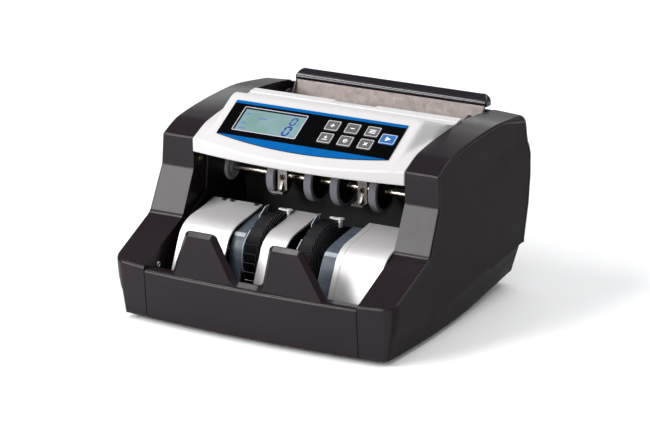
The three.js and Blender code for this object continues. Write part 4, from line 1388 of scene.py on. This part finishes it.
def plate_hooks():
    """Black hooks at the left plate's rear edge, and the pale fingers that lift notes off the wheels."""
    form = Form()
    for x, y in ((-84, 103.2), (-76, 103.4), (-52, 103.4)):
        form.prism(rectangle(x, x + 2.6, y - 3.2, y), along_z, 80.2, 81.7)
    form.piece("plate_hooks", "housing", "matt_black", [MATT_BLACK], bevel=0.2)
    form = Form()
    for x in (-18.2, 31.6):
        arm = [(x - 9, 99), (x - 1, 97), (x, 100.8), (x - 8, 101.4)]
        tip = [(x - 2, 97), (x + 2.6, 96.6), (x + 4.6, 100.6), (x - 1, 101.2)]
        leg = [(x + 2.2, 94), (x + 4.0, 94), (x + 4.0, 98), (x + 2.0, 98)]
        for outline, low, high in ((arm, 80.8, 82), (tip, 81, 82.6), (leg, 75.6, 81.8)):
            form.prism(outline, along_z, low, high)
    form.piece("note_strippers", "housing", "nylon", [PRINT_WHITE], bevel=0.25)


for wheel in ("stacker_wheel_left", "stacker_wheel_right"):
    stacker_wheel(wheel)
wheel_shrouds()
stacker_plates()
plate_hooks()

# ---------------------------------------------------------------- hopper

HANDLE_PROFILE = [
    (0.3, 0), (0.05, 0.04), (0, 0.10), (0, 0.28), (0.12, 0.36), (0.5, 0.45), (1.3, 0.54),
    (2.2, 0.63), (3.2, 0.72), (4.3, 0.80), (5.4, 0.88), (6.3, 0.94), (7.0, 0.975), (7.8, 1.0),
]


def hopper_back():
    """The tall back of the hopper: a speckled steel sheet under a rounded, gloss-black handle bar."""
    high = box_mm("hopper_back_rest")[1]
    half = high.x
    form = Form()
    sheet = [(235, 124), (237, 124), (245.8, 155), (243.8, 155)]
    form.prism(sheet, along_x, -half + 1.5, half - 1.5)
    for side in (-1, 1):
        fold = [(235.2, 124), (226, 125.5), (228, 132), (242.6, 153), (243.8, 153)]
        x = side * (half - 2.3)
        form.prism(fold, along_x, min(x, x + side * 0.8), max(x, x + side * 0.8))
    form.piece("hopper_sheet", "housing", "bright_steel", [REST_STEEL], bevel=0.3)
    form = Form()
    top, base = high.z, 151.4
    front, back, corner = 243.0, 252.0, 6.4
    loops = []
    for lean, share in HANDLE_PROFILE:
        z = mix(base, top, share)
        over = max(z - (top - corner), 0)
        edge = half - corner + math.sqrt(max(corner ** 2 - over ** 2, 0))
        y0 = front + lean
        y1 = back - 0.12 * lean
        start = [(-edge, y1, z), (-edge, y0 + 1.6, z), (-edge + 0.5, y0 + 0.5, z)]
        along = [((edge - 1.6) * (k / 12 - 1), y0, z) for k in range(25)]
        end = [(edge - 0.5, y0 + 0.5, z), (edge, y0 + 1.6, z), (edge, y1, z)]
        loops.append(start + along + end)
    form.grid(loops, wrap=True)
    form.flat([loops[0]])
    form.flat([loops[-1]])
    form.piece(
        "hopper_handle", "housing", "gloss_black", [GLOSS_BLACK], replaces=["hopper_back_rest"],
        bevel=0.3, sharp=60.0,
    )


hopper_back()

# ---------------------------------------------------------------- small fittings


def turned_y(form, profile, x, z, sides=32):
    """A solid of revolution round an axis along Y, from (y, radius) points."""
    rings = []
    for i in range(sides):
        angle = 2 * math.pi * i / sides
        rings.append([(x + r * math.cos(angle), y, z + r * math.sin(angle)) for y, r in profile])
    form.grid([*rings, rings[0]])


def bracket_eyelets():
    """A brass eyelet round the hole in each bracket, with a black disc in the hole as its painted shade.
    """
    z = 100.5
    for side in ("left", "right"):
        low, high = box_mm("sensor_bracket_" + side)
        x = (low.x + high.x) / 2
        front = high.y - 1.5
        form = Form()
        ring = [
            (front + 0.02, 1.5), (front - 0.5, 1.6), (front - 0.8, 2.0), (front - 0.5, 2.5),
            (front + 0.02, 2.6),
        ]
        turned_y(form, ring, x, z)
        form.piece("bracket_eyelet_" + side, "housing", "bright_steel", [BRASS], sharp=60.0)
        # painted shade: a black disc closing the hole, for the dark seen inside it
        form = Form()
        turned_y(form, [(front + 1.2, 0), (front + 1.2, 1.45), (front + 1.0, 1.45)], x, z)
        form.flat([[(p, front + 1.0, q) for p, q in circle(x, z, 1.45)]])
        form.piece("bracket_hole_shade_" + side, "housing", "matt_black", [MATT_BLACK])


def wall_fittings():
    """A screw and a small round eyelet on the bay's left wall."""
    wall = -BAY_HALF
    form = Form()
    screw = [
        (wall + 0.05, 0), (wall + 0.05, 2.6), (wall + 0.9, 2.5), (wall + 1.3, 1.9),
        (wall + 1.3, 0.7), (wall + 0.8, 0.6), (wall + 0.8, 0),
    ]
    form.turned_x(screw, 95, 116.6, 24)
    form.piece("wall_screw", "housing", "dark_steel", [BRASS], sharp=35.0)
    form = Form()
    ring = [(wall + 0.75 + a, 1.9 + b) for a, b in circle(0, 0, 0.6, 8)]
    form.turned_x([*ring, ring[0]], 25.8, 41.4, 24)
    form.piece("wall_eyelet", "housing", "bright_steel", [BRIGHT_STEEL], sharp=60.0)


def inlet_pins():
    x, z, back = 66.0, 26.0, 246.6
    form = Form()
    for dx, dz in ((-6.5, -2), (0, 1.5), (6.5, -2)):
        pin = rectangle(x + dx - 1.05, x + dx + 1.05, z + dz - 2.05, z + dz + 2.05, 0.4)
        form.prism(pin, along_y, back - 12, back - 5.45)
    form.piece("inlet_pins", "housing", "bright_steel", [BRASS], bevel=0.2)


bracket_eyelets()
wall_fittings()
inlet_pins()


def seam_shadows():
    """Dark strips set back in the seams beside the front band: painted shade, standing in for the dark
    of deep gaps.
    """
    for name, side in (("left", -1), ("right", 1)):
        form = Form()
        near, far = CENTRE_HALF + 0.02, BAY_HALF - 0.02
        x0, x1 = sorted((side * near, side * far))
        rows = []
        for z in (1.2, 12, 24, 34, 40.5):
            y = front_face(BAY_HALF, z) + 0.9
            rows.append([(x0, y, z), (x1, y, z), (x1, y + 2, z), (x0, y + 2, z)])
        form.grid(rows, wrap=True)
        form.flat([rows[0]])
        form.flat([rows[-1]])
        form.piece("band_seam_shade_" + name, "housing", "matt_black", [MATT_BLACK])


seam_shadows()

# ---------------------------------------------------------------- stage, light and camera


FLOOR_HALF = 6.0
LIT_AT = (0.0, 0.0, 0.08)


def pale_floor():
    bm = bmesh.new()
    bmesh.ops.create_grid(bm, x_segments=1, y_segments=1, size=FLOOR_HALF)
    mesh = bpy.data.meshes.new("floor")
    bm.to_mesh(mesh)
    bm.free()
    floor = bpy.data.objects.new("floor", mesh)
    bpy.context.scene.collection.objects.link(floor)
    paper = Finish("floor_paper", (0.94, 0.94, 0.94), 0.75, Specular_IOR_Level=0.2)
    paper.vary_colour(paper.spread(paper.noise(400), 0.0, 0.4), (0.92, 0.92, 0.92))
    mesh.materials.append(paper.material)
    floor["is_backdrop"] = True


def softbox(name, place, target, width, height, power):
    light = bpy.data.lights.new(name, "AREA")
    light.shape = "RECTANGLE"
    light.size = width
    light.size_y = height
    light.energy = power
    made = bpy.data.objects.new(name, light)
    made.location = place
    made.rotation_euler = (Vector(target) - Vector(place)).to_track_quat("-Z", "Y").to_euler()
    bpy.context.scene.collection.objects.link(made)


def studio():
    world = bpy.data.worlds.new("studio")
    world.use_nodes = True
    world.node_tree.nodes["Background"].inputs["Color"].default_value = (0.95, 0.97, 1.0, 1.0)
    world.node_tree.nodes["Background"].inputs["Strength"].default_value = 0.34
    bpy.context.scene.world = world
    softbox("front_left_box", (-1.15, -1.7, 1.08), LIT_AT, 1.4, 0.8, 53)
    softbox("crease_strip", (-0.9, -0.64, 1.64), LIT_AT, 1.0, 0.13, 14)
    softbox("low_strip", (-1.2, -2.2, 0.42), LIT_AT, 1.0, 0.13, 8)
    softbox("overhead_box", (0.9, 0.8, 2.9), (0.2, 0.2, 0), 3.0, 2.6, 58)
    softbox("back_left_box", (-1.2, 2.0, 0.9), LIT_AT, 1.4, 0.5, 3)
    softbox("front_fill", (0.7, -2.6, 1.0), LIT_AT, 1.6, 1.2, 8)
    softbox("right_fill", (1.9, 0.3, 1.1), LIT_AT, 1.0, 1.0, 8)


CAMERA_PLACE = (1.2048, -2.0903, 0.8467)
CAMERA_HEADING, CAMERA_PITCH, CAMERA_ROLL = 29.922, 17.738, -0.203


def view_camera():
    """A long lens, turned left of +Y by its heading and down by its pitch (degrees)."""
    camera = bpy.data.cameras.new("camera")
    camera.sensor_width = 36.0
    camera.lens = 165.39
    camera.shift_x = -0.0005
    camera.shift_y = 0.0012
    camera.clip_end = 50.0
    made = bpy.data.objects.new("camera", camera)
    heading = Matrix.Rotation(math.radians(CAMERA_HEADING), 4, "Z")
    pitch = Matrix.Rotation(math.radians(90 - CAMERA_PITCH), 4, "X")
    roll = Matrix.Rotation(math.radians(CAMERA_ROLL), 4, "Z")
    made.matrix_world = Matrix.Translation(CAMERA_PLACE) @ heading @ pitch @ roll
    bpy.context.scene.collection.objects.link(made)
    bpy.context.scene.camera = made


pale_floor()
studio()
view_camera()
bpy.context.scene.view_settings.view_transform = "Standard"

low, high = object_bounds()
{"cad": [list(cad_low), list(cad_high)], "visual": [list(low), list(high)]}
